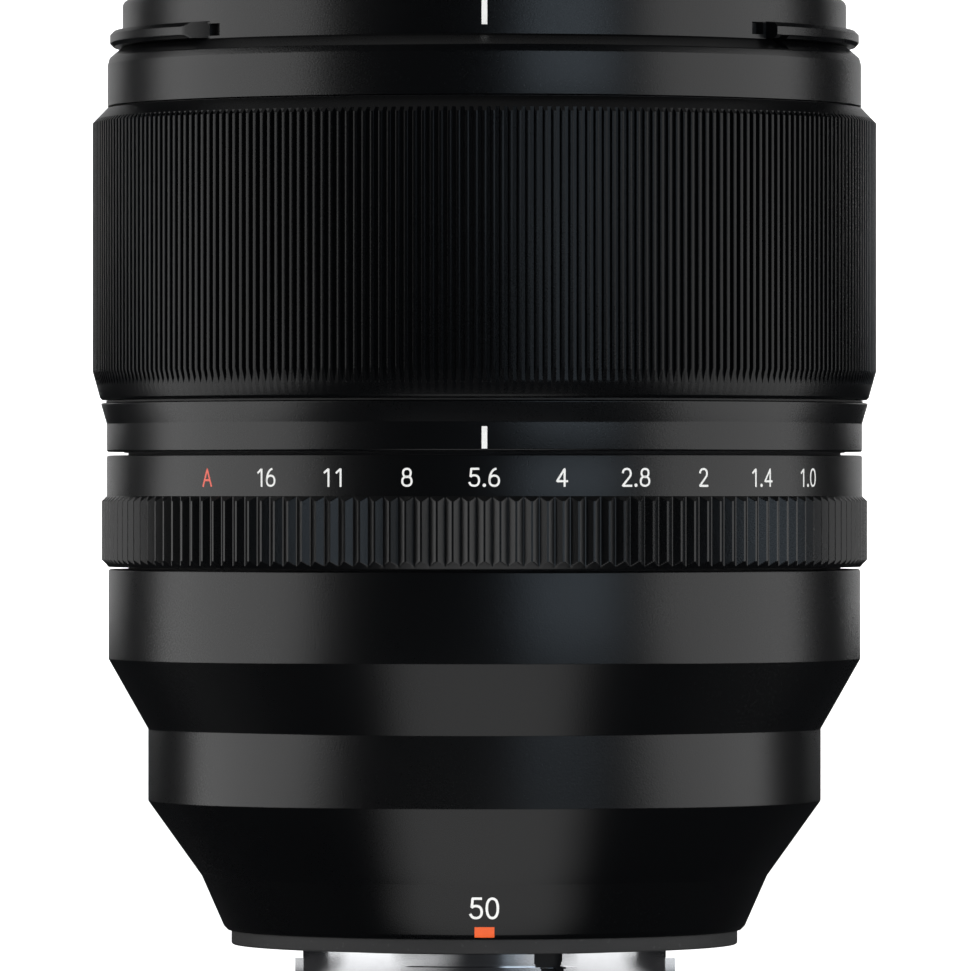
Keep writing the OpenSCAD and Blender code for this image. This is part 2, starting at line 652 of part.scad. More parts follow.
module cam_followers() color(gold) for (a = [0, 120, 240]) rotate([0, 0, a])
    radial_pin(22.7, follower_end_r, follower_r, follower_z);

module focus_element_1() color(glass) lens_element(focus_rim_r[0], 47, 45, 38.62, 0);
module focus_element_2() color(glass) lens_element(focus_rim_r[0], 38.6, 0, 36.9, -60);
module focus_element_3() color(glass) lens_element(focus_rim_r[1], 34.6, 50, 28.6, 0);

// ---- Electronics and small parts ----

module main_board() color([0.1, 0.35, 0.2]) {
    tube(31.5, 24.2, board_z + seat_gap, board_z + 1);
    // Chips: dial angle, depth and width
    for (chip = [[20, 6, 5], [95, 4, 4], [150, 3, 6], [235, 6, 3], [270, 5, 5], [340, 4, 3]])
        at_dial(chip[0])
            radial_block(27.7 - chip[1] / 2, 27.7 + chip[1] / 2, chip[2], board_z + 0.9, board_z + 2);
}

module flex_cable() color([0.75, 0.45, 0.15]) at_dial(120) {
    radial_block(31, 31.2, 6, board_z + 1.03, guide_flange_z - seat_gap);
    radial_block(28, 31.2, 6, board_z + 1.03, board_z + 1.23);
}

module slip_ring() color([0.85, 0.85, 0.8]) tube(42, tube_front_r + 0.1, 58.85, 59.05);

module click_spring() color(steel) at_dial(contact_angle - 15) rotate_extrude(angle = 30)
    polygon([[tube_bore_r - 0.3, click_z - 1.5], [tube_bore_r - 0.1, click_z - 1.5],
             [tube_bore_r - 0.1, click_z + 1.5], [tube_bore_r - 0.3, click_z + 1.5]]);

module click_ball() color(steel) at_dial(contact_angle) translate([39.1, 0, click_z])
    sphere(r = 0.7, $fn = 32);

module barrel_screws() color(steel) for (a = barrel_screw_angles) at_dial(a) {
    radial_pin(tube_bore_r - 0.3, 41, 0.6, barrel_screw_z);
    radial_pin(tube_bore_r - 0.9, tube_bore_r - 0.3, 1.1, barrel_screw_z);
}

module focus_sensor() color(black) at_dial(sensor_angle)
    radial_block(tube_wide_bore_r + 0.1, tube_front_r - 0.1, 6, sensor_low_z, sensor_top_z);

// ---- Rings that a hand turns ----

// A magnetic code band in the bore of a ring, and the groove that it lies in.
module code_band(bore, low, h) color([0.3, 0.28, 0.25])
    tube(bore + 0.02 + code_band_t, bore + 0.02, low, low + h);
module code_band_groove(bore, low, h) tube(bore + 0.05 + code_band_t, bore - 1, low - 0.1, low + h + 0.1);

module focus_ring() color(dark) {
    intersection() {
        translate([0, 0, focus_low_z]) linear_extrude(focus_top_z - focus_low_z)
            polygon(rib_outline(focus_ribs, focus_r, focus_r - focus_rib_depth, 0.36));
        difference() {
            turned([[focus_bore_r, focus_low_z], [42.45, focus_low_z], [42.68, focus_low_z + 0.25],
                    [focus_r + 0.02, focus_land_low_z], [focus_r + 0.02, focus_land_top_z + 0.1],
                    [41.95, focus_top_z], [focus_bore_r, focus_top_z]]);
            code_band_groove(focus_bore_r, focus_band_low_z, focus_band_h);
        }
    }
}

module focus_code_band() code_band(focus_bore_r, focus_band_low_z, focus_band_h);

module aperture_ring() color(dark) difference() {
    union() {
        turned([[aperture_bore_r, aperture_low_z], [40.5, aperture_low_z], [40.5, 47], [41.6, 48.45],
                [plain_band_r, aperture_grip_top_z], [plain_band_r, aperture_top_z - 0.2],
                [plain_band_r - 0.2, aperture_top_z], [aperture_bore_r, aperture_top_z]]);
        intersection() {
            translate([0, 0, aperture_low_z]) linear_extrude(8) difference() {
                polygon(rib_outline(aperture_ridges, aperture_grip_r,
                                    aperture_grip_r - aperture_ridge_depth, 0.16));
                circle(r = 40.2);
            }
            turned([[40, aperture_low_z], [41.75, aperture_low_z], [42.51, 41.45], [42.51, 47.93],
                    [41.95, 48.49], [41.9, aperture_grip_top_z], [40, aperture_grip_top_z]]);
        }
    }
    // Notches that the click ball meets at each marked stop
    for (i = [-4 : 5]) at_dial(contact_angle - i * stop_pitch) translate([39.35, 0, click_z - 1])
        cylinder(r = 0.8, h = 2, $fn = 24);
    code_band_groove(aperture_bore_r, aperture_band_low_z, aperture_band_h);
}

module aperture_code_band() code_band(aperture_bore_r, aperture_band_low_z, aperture_band_h);

front_barrel();
name_ring();
index_ring();
main_barrel();
rear_barrel();
mount_index_bar();
mount_seal();
mount_plate();
mount_screws();
contact_block();
contact_pads();
rear_baffle();
front_cell();
front_retainer();
front_spacer();
front_element_1();
front_element_2();
front_element_3();
front_element_4();
iris_base_plate();
iris_cover();
iris_motor();
guide_barrel();
cam_retaining_ring();
focus_motor();
rear_cell();
rear_element_1();
rear_element_2();
main_board();
flex_cable();
slip_ring();
click_spring();
click_ball();
barrel_screws();
focus_sensor();
focus_ring();
focus_code_band();
aperture_ring();
aperture_code_band();
iris_drive_ring();
iris_pinion();
for (i = [0 : blade_count - 1]) iris_blade(i);
focus_cam_ring();
focus_pinion();
focus_cell();
focus_retainer();
cam_followers();
focus_element_1();
focus_element_2();
focus_element_3();
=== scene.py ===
"""Looks of a fast autofocus prime lens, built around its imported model.

Lengths in the classes are millimetres on the lens, heights above the mount's flange plane, and angles are
dial angles in degrees: 0 faces -Y, where the index marks are, and positive turns towards +X. Meshes are
built in millimetres and scaled to metres as they are made.
"""

from __future__ import annotations

import json
import logging
import math
from dataclasses import dataclass, field
from enum import Enum
from typing import Callable, Sequence

import bpy
import numpy as np
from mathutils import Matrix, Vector

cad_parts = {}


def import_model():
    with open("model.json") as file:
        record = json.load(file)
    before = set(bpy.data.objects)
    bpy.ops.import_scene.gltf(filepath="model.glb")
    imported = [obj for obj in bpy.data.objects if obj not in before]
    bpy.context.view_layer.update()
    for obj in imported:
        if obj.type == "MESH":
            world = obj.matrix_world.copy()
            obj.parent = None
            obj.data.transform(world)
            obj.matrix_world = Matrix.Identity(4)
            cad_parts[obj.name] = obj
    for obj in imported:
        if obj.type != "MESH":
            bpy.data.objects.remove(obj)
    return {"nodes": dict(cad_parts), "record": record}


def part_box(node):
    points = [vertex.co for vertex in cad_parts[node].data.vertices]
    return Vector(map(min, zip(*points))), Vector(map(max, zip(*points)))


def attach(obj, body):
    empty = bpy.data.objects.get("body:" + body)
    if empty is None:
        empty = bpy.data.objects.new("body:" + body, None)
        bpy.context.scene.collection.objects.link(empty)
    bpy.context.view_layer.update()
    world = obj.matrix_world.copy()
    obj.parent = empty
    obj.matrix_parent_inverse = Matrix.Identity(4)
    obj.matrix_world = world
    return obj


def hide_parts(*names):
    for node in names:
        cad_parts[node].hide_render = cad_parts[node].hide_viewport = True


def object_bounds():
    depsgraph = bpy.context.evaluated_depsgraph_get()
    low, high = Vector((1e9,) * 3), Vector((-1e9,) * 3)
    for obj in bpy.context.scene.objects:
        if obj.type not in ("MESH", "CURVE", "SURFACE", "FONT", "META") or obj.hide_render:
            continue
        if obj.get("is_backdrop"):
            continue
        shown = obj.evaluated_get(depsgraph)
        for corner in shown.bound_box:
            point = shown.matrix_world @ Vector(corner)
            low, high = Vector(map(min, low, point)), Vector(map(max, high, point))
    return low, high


LOG = logging.getLogger("lens")
MM = 0.001
FULL_TURN = 2 * math.pi


# ---- Meshes ----


def dial(angle: np.ndarray | float) -> np.ndarray | float:
    """Returns the mathematical polar angle, in radians, of a dial angle in degrees."""
    return np.radians(np.asarray(angle, float) - 90.0)


def dial_columns(count: int) -> np.ndarray:
    """Returns count dial angles, evenly spaced over the full turn, from -180."""
    return -180.0 + 360.0 * np.arange(count) / count


def make_mesh(name: str, points: np.ndarray, faces: list[np.ndarray], crease: float = 32.0) -> bpy.types.Object:
    """Makes an object from points and faces, turned outwards and smooth up to the crease angle.

    The sign of the enclosed volume, the sum of a . (b x c) over the triangles, tells which way it faces.

    Args:
        name: name of the object.
        points: (n, 3) places in millimetres.
        faces: index arrays, each (m, 3) or (m, 4).
        crease: edges sharper than this many degrees stay sharp.

    Returns:
        The new object, linked to the scene.
    """
    volume = 0.0
    for f in faces:
        for k in range(1, f.shape[1] - 1):
            a, b, c = points[f[:, 0]], points[f[:, k]], points[f[:, k + 1]]
            volume += float(np.einsum("ij,ij->", a, np.cross(b, c)))
    if volume < 0:
        faces = [f[:, ::-1] for f in faces]
    mesh = bpy.data.meshes.new(name)
    mesh.from_pydata((points * MM).tolist(), [], [row for f in faces for row in f.tolist()])
    mesh.polygons.foreach_set("use_smooth", np.ones(len(mesh.polygons), bool))
    mesh.set_sharp_from_angle(angle=math.radians(crease))
    mesh.update()
    obj = bpy.data.objects.new(name, mesh)
    bpy.context.scene.collection.objects.link(obj)
    return obj


def grid_faces(rows: int, columns: int, close_rows: bool, close_columns: bool, first: int = 0) -> np.ndarray:
    """Returns the quads of a grid of points numbered row by row from first."""
    i = np.arange(rows if close_rows else rows - 1)
    j = np.arange(columns if close_columns else columns - 1)
    i, j = np.meshgrid(i, j, indexing="ij")
    n, m = (i + 1) % rows, (j + 1) % columns
    quads = np.stack([i * columns + j, i * columns + m, n * columns + m, n * columns + j], -1)
    return quads.reshape(-1, 4) + first


@dataclass(frozen=True)
class Corner:
    """A corner of a turned profile: radius, height and the radius of its rounding."""

    r: float
    z: float
    round: float = 0.0


def rounded(corners: Sequence[Corner], closed: bool = True, steps: int = 4) -> np.ndarray:
    """Returns a profile with its corners rounded.

    A rounding of radius q in a corner of angle w starts q / tan(w / 2) before the corner, and its centre
    lies on the bisector at q / sin(w / 2).

    Args:
        corners: the profile's corners in order.
        closed: whether the last corner joins the first.
        steps: number of chords in a rounding.

    Returns:
        (n, 2) radii and heights.
    """
    out: list[np.ndarray] = []
    count = len(corners)
    for k, corner in enumerate(corners):
        p = np.array([corner.r, corner.z])
        if corner.round == 0 or (not closed and k in (0, count - 1)):
            out.append(p[None])
            continue
        before, after = corners[k - 1], corners[(k + 1) % count]
        a = np.array([before.r, before.z]) - p
        b = np.array([after.r, after.z]) - p
        a, b = a / np.linalg.norm(a), b / np.linalg.norm(b)
        half = math.acos(float(np.clip(a @ b, -1, 1))) / 2
        centre = p + (a + b) / np.linalg.norm(a + b) * corner.round / math.sin(half)
        start = p + a * corner.round / math.tan(half) - centre
        end = p + b * corner.round / math.tan(half) - centre
        t = np.linspace(0, 1, steps + 1)[:, None]
        arc = start * (1 - t) + end * t
        out.append(centre + arc / np.linalg.norm(arc, axis=1, keepdims=True) * corner.round)
    return np.concatenate(out)


def ridge_columns(count: int, shares: np.ndarray) -> np.ndarray:
    """Returns the dial angles where the slope changes round a ridged wheel.

    Args:
        count: number of ridges; one crest is at 0.
        shares: rising places on one side of a ridge, from 0 on the crest to 1 in the valley.
    """
    knots = np.concatenate([-shares[::-1], shares])
    return ((2 * np.arange(count)[:, None] + knots) * 180.0 / count).ravel()


Shape = Callable[[np.ndarray, np.ndarray, np.ndarray], np.ndarray]


def turned(name: str, loop: np.ndarray, columns: int | np.ndarray = 480, shape: Shape | None = None,
           crease: float = 32.0) -> bpy.types.Object:
    """Makes a ring by turning a closed profile round the optical axis.

    A point is (r cos a, r sin a, z), with a the polar angle of its column. shape may change r by place.

    Args:
        name: name of the object.
        loop: (n, 2) closed profile, radii and heights.
        columns: number of even steps round the ring, or the dial angle of each column.
        shape: takes dial angles (1, m), radii (n, 1) and heights (n, 1) and returns radii (n, m).
        crease: edges sharper than this many degrees stay sharp.

    Returns:
        The new object.
    """
    angles = (dial_columns(columns) if isinstance(columns, int) else columns)[None, :]
    r, z = loop[:, :1], loop[:, 1:]
    radii = shape(angles, r, z) if shape else r + 0 * angles
    a = dial(angles)
    points = np.stack([radii * np.cos(a), radii * np.sin(a), z + 0 * radii], -1)
    return make_mesh(name, points.reshape(-1, 3), [grid_faces(len(loop), angles.size, True, True)], crease)


def turned_lens(name: str, profile: np.ndarray, columns: int = 256) -> bpy.types.Object:
    """Makes a solid of revolution whose profile starts and ends on the axis, with one point at each pole."""
    inner = profile[1:-1]
    a = dial(dial_columns(columns))[None, :]
    r, z = inner[:, :1], inner[:, 1:]
    points = np.stack([r * np.cos(a), r * np.sin(a), z + 0 * a], -1).reshape(-1, 3)
    poles = np.array([[0, 0, profile[0, 1]], [0, 0, profile[-1, 1]]])
    j = np.arange(columns)
    m = (j + 1) % columns
    last = (len(inner) - 1) * columns
    low, high = len(points), len(points) + 1
    caps = np.concatenate([np.stack([j * 0 + low, m, j], -1),
                           np.stack([j * 0 + high, last + j, last + m], -1)])
    faces = [caps, grid_faces(len(inner), columns, False, True)]
    return make_mesh(name, np.concatenate([points, poles]), faces)


# ---- Shader graphs ----


class Signal:
    """A value in a shader graph. Arithmetic on it adds Math nodes."""

    def __init__(self, graph: Graph, socket: bpy.types.NodeSocket) -> None:
        """Keeps the graph and the socket that the value comes from."""
        self.graph = graph
        self.socket = socket

    def _math(self, operation: str, *values: Signal | float) -> Signal:
        """Returns the result of a Math node on the given values."""
        return self.graph.node("ShaderNodeMath", list(values), operation=operation)

    def __add__(self, other: Signal | float) -> Signal:
        """Adds."""
        return self._math("ADD", self, other)

    __radd__ = __add__

    def __mul__(self, other: Signal | float) -> Signal:
        """Multiplies."""
        return self._math("MULTIPLY", self, other)

    __rmul__ = __mul__

    def __sub__(self, other: Signal | float) -> Signal:
        """Subtracts other from this."""
        return self._math("SUBTRACT", self, other)

    def __rsub__(self, other: Signal | float) -> Signal:
        """Subtracts this from other."""
        return self._math("SUBTRACT", other, self)

    def __gt__(self, other: Signal | float) -> Signal:
        """Returns 1 where this is greater."""
        return self._math("GREATER_THAN", self, other)

    def __abs__(self) -> Signal:
        """Drops the sign."""
        return self._math("ABSOLUTE", self)

    def clamped(self) -> Signal:
        """Limits to 0 to 1."""
        return self.graph.node("ShaderNodeClamp", [self, 0.0, 1.0])

    def ramp(self, start: float, end: float) -> Signal:
        """Rises evenly from 0 where this is start to 1 where it is end, and stays level outside."""
        return ((self - start) * (1.0 / (end - start))).clamped()

    def length_with(self, other: Signal) -> Signal:
        """Returns the square root of the sum of both squares."""
        return self._math("SQRT", self * self + other * other)


class Graph:
    """The node tree of one material, with a Principled shader at its end."""

    def __init__(self, name: str) -> None:
        """Starts a material with a Principled shader."""
        self.material = bpy.data.materials.new(name)
        self.material.use_nodes = True
        self.tree = self.material.node_tree
        self.shader = next(n for n in self.tree.nodes if n.type == "BSDF_PRINCIPLED")

    def node(self, kind: str, values: Sequence[object] | dict[str | int, object] = (), out: int | str = 0,
             **settings: object) -> Signal:
        """Adds a node, its settings first and then the values or links of its inputs.

        Args:
            kind: the node's type.
            values: inputs by position, or by name.
            out: the output to return.
            **settings: the node's own properties.

        Returns:
            The chosen output.
        """
        made = self.tree.nodes.new(kind)
        for key, value in settings.items():
            setattr(made, key, value)
        named = values.items() if isinstance(values, dict) else enumerate(values)
        for key, value in named:
            self.feed(made.inputs[key], value)
        return Signal(self, made.outputs[out])

    def feed(self, socket: bpy.types.NodeSocket, value: object) -> None:
        """Links a signal to a socket, or sets its value."""
        if isinstance(value, Signal):
            self.tree.links.new(value.socket, socket)
        elif isinstance(value, tuple) and len(value) == 3 and socket.type == "RGBA":
            socket.default_value = (*value, 1.0)
        else:
            socket.default_value = value

    def set(self, **inputs: object) -> None:
        """Sets or links inputs of the Principled shader; an underscore stands for a space."""
        for key, value in inputs.items():
            self.feed(self.shader.inputs[key.replace("_", " ")], value)

    def place(self) -> Signal:
        """Returns the object coordinates, in metres."""
        return self.node("ShaderNodeTexCoord", out="Object")

    def noise(self, scale: float, detail: float = 2.0, rough: float = 0.5,
              place: Signal | None = None) -> Signal:
        """Returns a noise of that many cells per metre, on the object coordinates unless place is given."""
        return self.node("ShaderNodeTexNoise", {"Vector": place or self.place(), "Scale": scale,
                                                "Detail": detail, "Roughness": rough})

    def turning(self, scale: float, detail: float) -> Signal:
        """Returns a noise that runs in fine lines round the optical axis: it reads only radius and height."""
        x, y, z = self.axes()
        return self.noise(scale, detail, place=self.node("ShaderNodeCombineXYZ", [x.length_with(y), 0.0, z]))

    def blend(self, share: Signal | float, first: object, second: object) -> Signal:
        """Returns a colour between first and second."""
        return self.node("ShaderNodeMix", {0: share, 6: first, 7: second}, out=2, data_type="RGBA")

    def bump(self, height: Signal, strength: float, distance: float, under: Signal | None = None) -> Signal:
        """Returns a normal from a height; distance is in metres."""
        values = {"Height": height, "Strength": strength, "Distance": distance}
        if under is not None:
            values["Normal"] = under
        return self.node("ShaderNodeBump", values)

    def axes(self) -> tuple[Signal, Signal, Signal]:
        """Returns x, y and z of the object coordinates, in metres."""
        split = self.node("ShaderNodeSeparateXYZ", [self.place()])
        outs = split.socket.node.outputs
        return Signal(self, outs[0]), Signal(self, outs[1]), Signal(self, outs[2])


Colour = tuple[float, float, float]
WHITE: Colour = (1.0, 1.0, 1.0)


def toned(colour: Colour, factor: float, lift: float = 0.0) -> Colour:
    """Returns a colour times a factor, plus an even lift."""
    return tuple(c * factor + lift for c in colour)


@dataclass(frozen=True)
class Anodised:
    """Black anodised aluminium: blasted grain, faint cloudy tone, and fine turning lines round the axis."""

    name: str
    colour: Colour = (0.0008, 0.0009, 0.0011)
    roughness: float = 0.28
    grain: float = 0.00002
    lines: float = 0.000004
    specular: float = 0.5

    def make(self) -> bpy.types.Material:
        """Builds the material."""
        g = Graph(self.name)
        cloud = g.noise(38.0, 3.0)
        grain = g.noise(5200.0, 2.0, 0.6)
        scuff = g.noise(160.0, 4.0, 0.65)
        turning = g.turning(9000.0, 1.0)
        g.set(Base_Color=g.blend(cloud * 0.7 + scuff * 0.3, self.colour, toned(self.colour, 1.4)),
              Roughness=(self.roughness - 0.07 + cloud * 0.07 + grain * 0.06 + scuff * 0.02).clamped(),
              Specular_IOR_Level=self.specular,
              Normal=g.bump(grain, 0.55, self.grain, g.bump(turning, 0.5, self.lines)))
        return g.material


@dataclass(frozen=True)
class Paint:
    """Paint filled into an engraving: slightly uneven and soft."""

    name: str
    colour: Colour
    roughness: float = 0.5

    def make(self) -> bpy.types.Material:
        """Builds the material."""
        g = Graph(self.name)
        tone = g.noise(1500.0, 3.0)
        g.set(Base_Color=g.blend(tone, toned(self.colour, 0.86), self.colour),
              Roughness=self.roughness - 0.08 + tone * 0.16,
              Normal=g.bump(g.noise(4200.0, 2.0), 0.35, 0.00001))
        return g.material


@dataclass(frozen=True)
class Plated:
    """Plated or bare metal: polish, fine lines round the axis and faint handling marks."""

    name: str
    colour: Colour = (0.78, 0.79, 0.81)
    roughness: float = 0.1
    lines: float = 0.000002

    def make(self) -> bpy.types.Material:
        """Builds the material."""
        g = Graph(self.name)
        turning = g.turning(14000.0, 2.0)
        marks = g.noise(420.0, 5.0, 0.7)
        g.set(Base_Color=g.blend(marks, toned(self.colour, 0.82), self.colour), Metallic=1.0,
              Roughness=(self.roughness - 0.04 + marks * 0.1 + turning * 0.03).clamped(),
              Normal=g.bump(turning, 0.5, self.lines))
        return g.material


@dataclass(frozen=True)
class Moulded:
    """Rubber, plastic, board or film: an even colour with a fine moulded grain and specks of dust."""

    name: str
    colour: Colour
    roughness: float = 0.6
    grain: float = 0.00003
    cells: float = 2600.0
    specular: float = 0.4

    def make(self) -> bpy.types.Material:
        """Builds the material."""
        g = Graph(self.name)
        grain = g.noise(self.cells, 3.0, 0.6)
        tone = g.noise(90.0, 3.0)
        dust = (g.noise(1900.0, 1.0) > 0.72) * 0.25
        clean = g.blend(tone, self.colour, toned(self.colour, 1.35, 0.004))
        g.set(Base_Color=g.blend(dust, clean, toned(self.colour, 1.5, 0.05)),
              Roughness=(self.roughness - 0.06 + grain * 0.12).clamped(),
              Specular_IOR_Level=self.specular, Normal=g.bump(grain, 0.6, self.grain))
        return g.material


@dataclass(frozen=True)
class MattInside:
    """Matt black of the inner cells, with light-trapping grooves round the axis."""

    name: str
    colour: Colour = (0.008, 0.008, 0.009)
    roughness: float = 0.62
    groove_pitch: float = 0.0006

    def make(self) -> bpy.types.Material:
        """Builds the material."""
        g = Graph(self.name)
        _, _, z = g.axes()
        groove = g.node("ShaderNodeMath", [z * (FULL_TURN / self.groove_pitch)], operation="SINE")
        grain = g.noise(4200.0, 2.0)
        g.set(Base_Color=g.blend(grain, self.colour, toned(self.colour, 1.8)),
              Roughness=(self.roughness - 0.05 + grain * 0.1).clamped(),
              Normal=g.bump(groove, 0.35, 0.00005, g.bump(grain, 0.4, 0.00001)))
        return g.material


@dataclass(frozen=True)
class CoatedGlass:
    """Optical glass whose thin coating tints its reflections."""

    name: str
    tint: Colour = (0.97, 0.985, 0.98)
    film_nm: float = 320.0
    film_ior: float = 1.75

    def make(self) -> bpy.types.Material:
        """Builds the material."""
        g = Graph(self.name)
        dust = g.noise(2400.0, 2.0, 0.6) > 0.735
        g.set(Base_Color=self.tint, Roughness=dust * 0.05, Transmission_Weight=1.0, IOR=1.52,
              Thin_Film_Thickness=self.film_nm, Thin_Film_IOR=self.film_ior)
        return g.material


class Slot(Enum):
    """The record's material slots."""

    BARREL = "black_anodised"
    INSIDE = "inner_black"
    INDEX = "index_red"
    SEAL = "seal_rubber"
    CHROME = "mount_chrome"
    SCREW = "screw_steel"
    PLASTIC = "contact_plastic"
    GOLD = "contact_gold"
    GLASS = "coated_glass"
    MOTOR = "motor_steel"
    PINION = "pinion_brass"
    BLADE = "blade_black"
    BOARD = "board_green"
    FLEX = "flex_amber"
    SLIP = "slip_plastic"
    BAND = "code_band"


class Finishes:
    """Makes each finish once and hands it out by slot."""

    def __init__(self) -> None:
        """Builds the finish of every slot and the paints."""
        recipes = {
            Slot.BARREL: Anodised("anodised_black"),
            Slot.INSIDE: MattInside("inner_matt_black"),
            Slot.INDEX: Paint("mount_index_orange", (0.78, 0.1, 0.01), 0.42),
            Slot.SEAL: Moulded("seal_rubber", (0.018, 0.018, 0.0185), 0.66, cells=3400.0),
            Slot.CHROME: Plated("mount_plating"),
            Slot.SCREW: Plated("screw_steel", (0.56, 0.56, 0.57), 0.24),
            Slot.PLASTIC: Moulded("contact_plastic", (0.012, 0.012, 0.013), 0.5),
            Slot.GOLD: Plated("contact_gold", (0.86, 0.6, 0.24), 0.2),
            Slot.GLASS: CoatedGlass("coated_glass"),
            Slot.MOTOR: Plated("motor_nickel", (0.6, 0.6, 0.61), 0.3),
            Slot.PINION: Plated("pinion_brass", (0.74, 0.56, 0.26), 0.26),
            Slot.BLADE: Plated("blade_steel", (0.05, 0.05, 0.056), 0.36),
            Slot.BOARD: Moulded("board_green", (0.01, 0.09, 0.035), 0.35, cells=900.0),
            Slot.FLEX: Moulded("flex_amber", (0.5, 0.2, 0.03), 0.25),
            Slot.SLIP: Moulded("slip_plastic", (0.01, 0.01, 0.01), 0.5),
            Slot.BAND: Moulded("code_band", (0.03, 0.026, 0.022), 0.4),
        }
        self.ribbed = Anodised("anodised_ribs", specular=0.27).make()
        self.by_slot = {slot: recipe.make() for slot, recipe in recipes.items()}
        self.white = Paint("engraving_white", (0.82, 0.82, 0.8), 0.5).make()
        self.red = Paint("engraving_red", (0.8, 0.14, 0.1), 0.5).make()

    def dress(self, obj: bpy.types.Object, slot: Slot, material: bpy.types.Material | None = None) -> None:
        """Gives an object the slot's finish, or another material that belongs to the slot."""
        obj.data.materials.clear()
        obj.data.materials.append(material or self.by_slot[slot])


def seat(obj: bpy.types.Object, body: str, *nodes: str) -> bpy.types.Object:
    """Makes a piece ride on a body, and stand for the CAD nodes named."""
    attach(obj, body)
    if nodes:
        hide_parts(*nodes)
    LOG.info("%s rides on %s, %d faces", obj.name, body, len(obj.data.polygons))
    return obj


def span(node: str) -> tuple[float, float, float]:
    """Returns the lowest and highest z and the outer radius of a ring-shaped CAD node, in millimetres."""
    low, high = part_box(node)
    return low.z / MM, high.z / MM, max(high.x, -low.x) / MM


# ---- Lettering ----


@dataclass(frozen=True)
class Stroke:
    """One stroke of a sign, on a unit cap height: points along its middle."""

    points: np.ndarray
    closed: bool = False


def oval(x: float, y: float, rx: float, ry: float, start: float = 0.0, end: float = 360.0,
         square: float = 2.3) -> np.ndarray:
    """Returns points on a superellipse |x/rx|^s + |y/ry|^s = 1 from one angle to another, in degrees."""
    full = abs(end - start) >= 360.0
    t = np.radians(np.linspace(start, end, 29)[: -1 if full else None])
    c, s = np.cos(t), np.sin(t)
    k = (np.abs(c) ** square + np.abs(s) ** square) ** (-1.0 / square)
    return np.stack([x + rx * k * c, y + ry * k * s], -1)


def line(*points: tuple[float, float]) -> np.ndarray:
    """Returns the points as an array, with extra points near each corner so that a stroke keeps its width."""
    p = np.array(points, float)
    out = [p[:1]]
    for a, b in zip(p[:-1], p[1:]):
        out.append(a + (b - a) * np.array([[0.04], [0.5], [0.96], [1.0]]))
    return np.concatenate(out)


def signs() -> dict[str, tuple[float, list[Stroke]]]:
    """Returns each sign's width and strokes, drawn as plain narrow figures."""
    return {
        "0": (0.56, [Stroke(oval(0.28, 0.5, 0.28, 0.5), True)]),
        "1": (0.58, [Stroke(line((0.15, 0.79), (0.4, 1.0), (0.4, 0.0)))]),
        "2": (0.54, [Stroke(np.concatenate([oval(0.26, 0.73, 0.25, 0.27, 165, -28),
                                            line((0.42, 0.5), (0.0, 0.0), (0.54, 0.0))]))]),
        "4": (0.6, [Stroke(line((0.46, 0.0), (0.46, 1.0), (0.0, 0.27), (0.6, 0.27)))]),
        "5": (0.54, [Stroke(np.concatenate([line((0.49, 1.0), (0.08, 1.0), (0.04, 0.52)),
                                            oval(0.25, 0.31, 0.29, 0.31, 128, -152)]))]),
        "6": (0.56, [Stroke(oval(0.28, 0.3, 0.28, 0.3), True),
                     Stroke(oval(0.42, 0.3, 0.42, 0.7, 180, 100, 2.0))]),
        "8": (0.56, [Stroke(oval(0.28, 0.76, 0.23, 0.24), True),
                     Stroke(oval(0.28, 0.27, 0.28, 0.27), True)]),
        "A": (0.7, [Stroke(line((0.0, 0.0), (0.35, 1.0), (0.7, 0.0))),
                    Stroke(line((0.13, 0.34), (0.57, 0.34)))]),
        ".": (0.22, [Stroke(oval(0.11, 0.03, 0.04, 0.04, square=2.0), True)]),
    }


@dataclass(frozen=True)
class Brush:
    """A painted stroke of a width, with a low crown that stands a little proud of the surface."""

    width: float
    lift: float = 0.02
    sink: float = 0.05

    def sweep(self, path: np.ndarray, closed: bool) -> tuple[np.ndarray, np.ndarray]:
        """Carries a flat arch along a path.

        Across the stroke the height is lift * sqrt(1 - s^2), with s from -1 to 1, and the arch is closed
        below by a chord. Open ends are cut square, half a width past the last point.

        Args:
            path: (n, 2) middle line in millimetres along and up the surface.
            closed: whether the path joins itself.

        Returns:
            (p, 3) points as along, up and out, and (q, 4) faces.
        """
        if closed:
            ahead = np.roll(path, -1, 0) - np.roll(path, 1, 0)
        else:
            first = (path[0] - path[1]) / np.linalg.norm(path[0] - path[1])
            last = (path[-1] - path[-2]) / np.linalg.norm(path[-1] - path[-2])
            path = np.concatenate([path[:1] + first * self.width / 2, path, path[-1:] + last * self.width / 2])
            ahead = np.gradient(path, axis=0)
        ahead = ahead / np.linalg.norm(ahead, axis=1, keepdims=True)
        side = np.stack([-ahead[:, 1], ahead[:, 0]], -1)
        s = np.array([-1, -0.8, -0.4, 0.4, 0.8, 1.0])
        up = self.lift * np.sqrt(np.clip(1 - s**2, 0, 1)) ** 0.5
        s = np.concatenate([s, s[-1:], s[:1]])
        up = np.concatenate([up, [-self.sink, -self.sink]])
        flat = path[:, None] + side[:, None] * (s * self.width / 2)[None, :, None]
        out = np.broadcast_to(up[None, :], flat.shape[:2])
        points = np.concatenate([flat, out[..., None]], -1)
        faces = [grid_faces(len(path), len(s), closed, True)]
        if not closed:
            cap = np.array([[0, 1, 2, 7], [2, 3, 6, 7], [3, 4, 5, 6]])
            faces += [cap, cap[:, ::-1] + (len(path) - 1) * len(s)]
        return points.reshape(-1, 3), np.concatenate(faces)


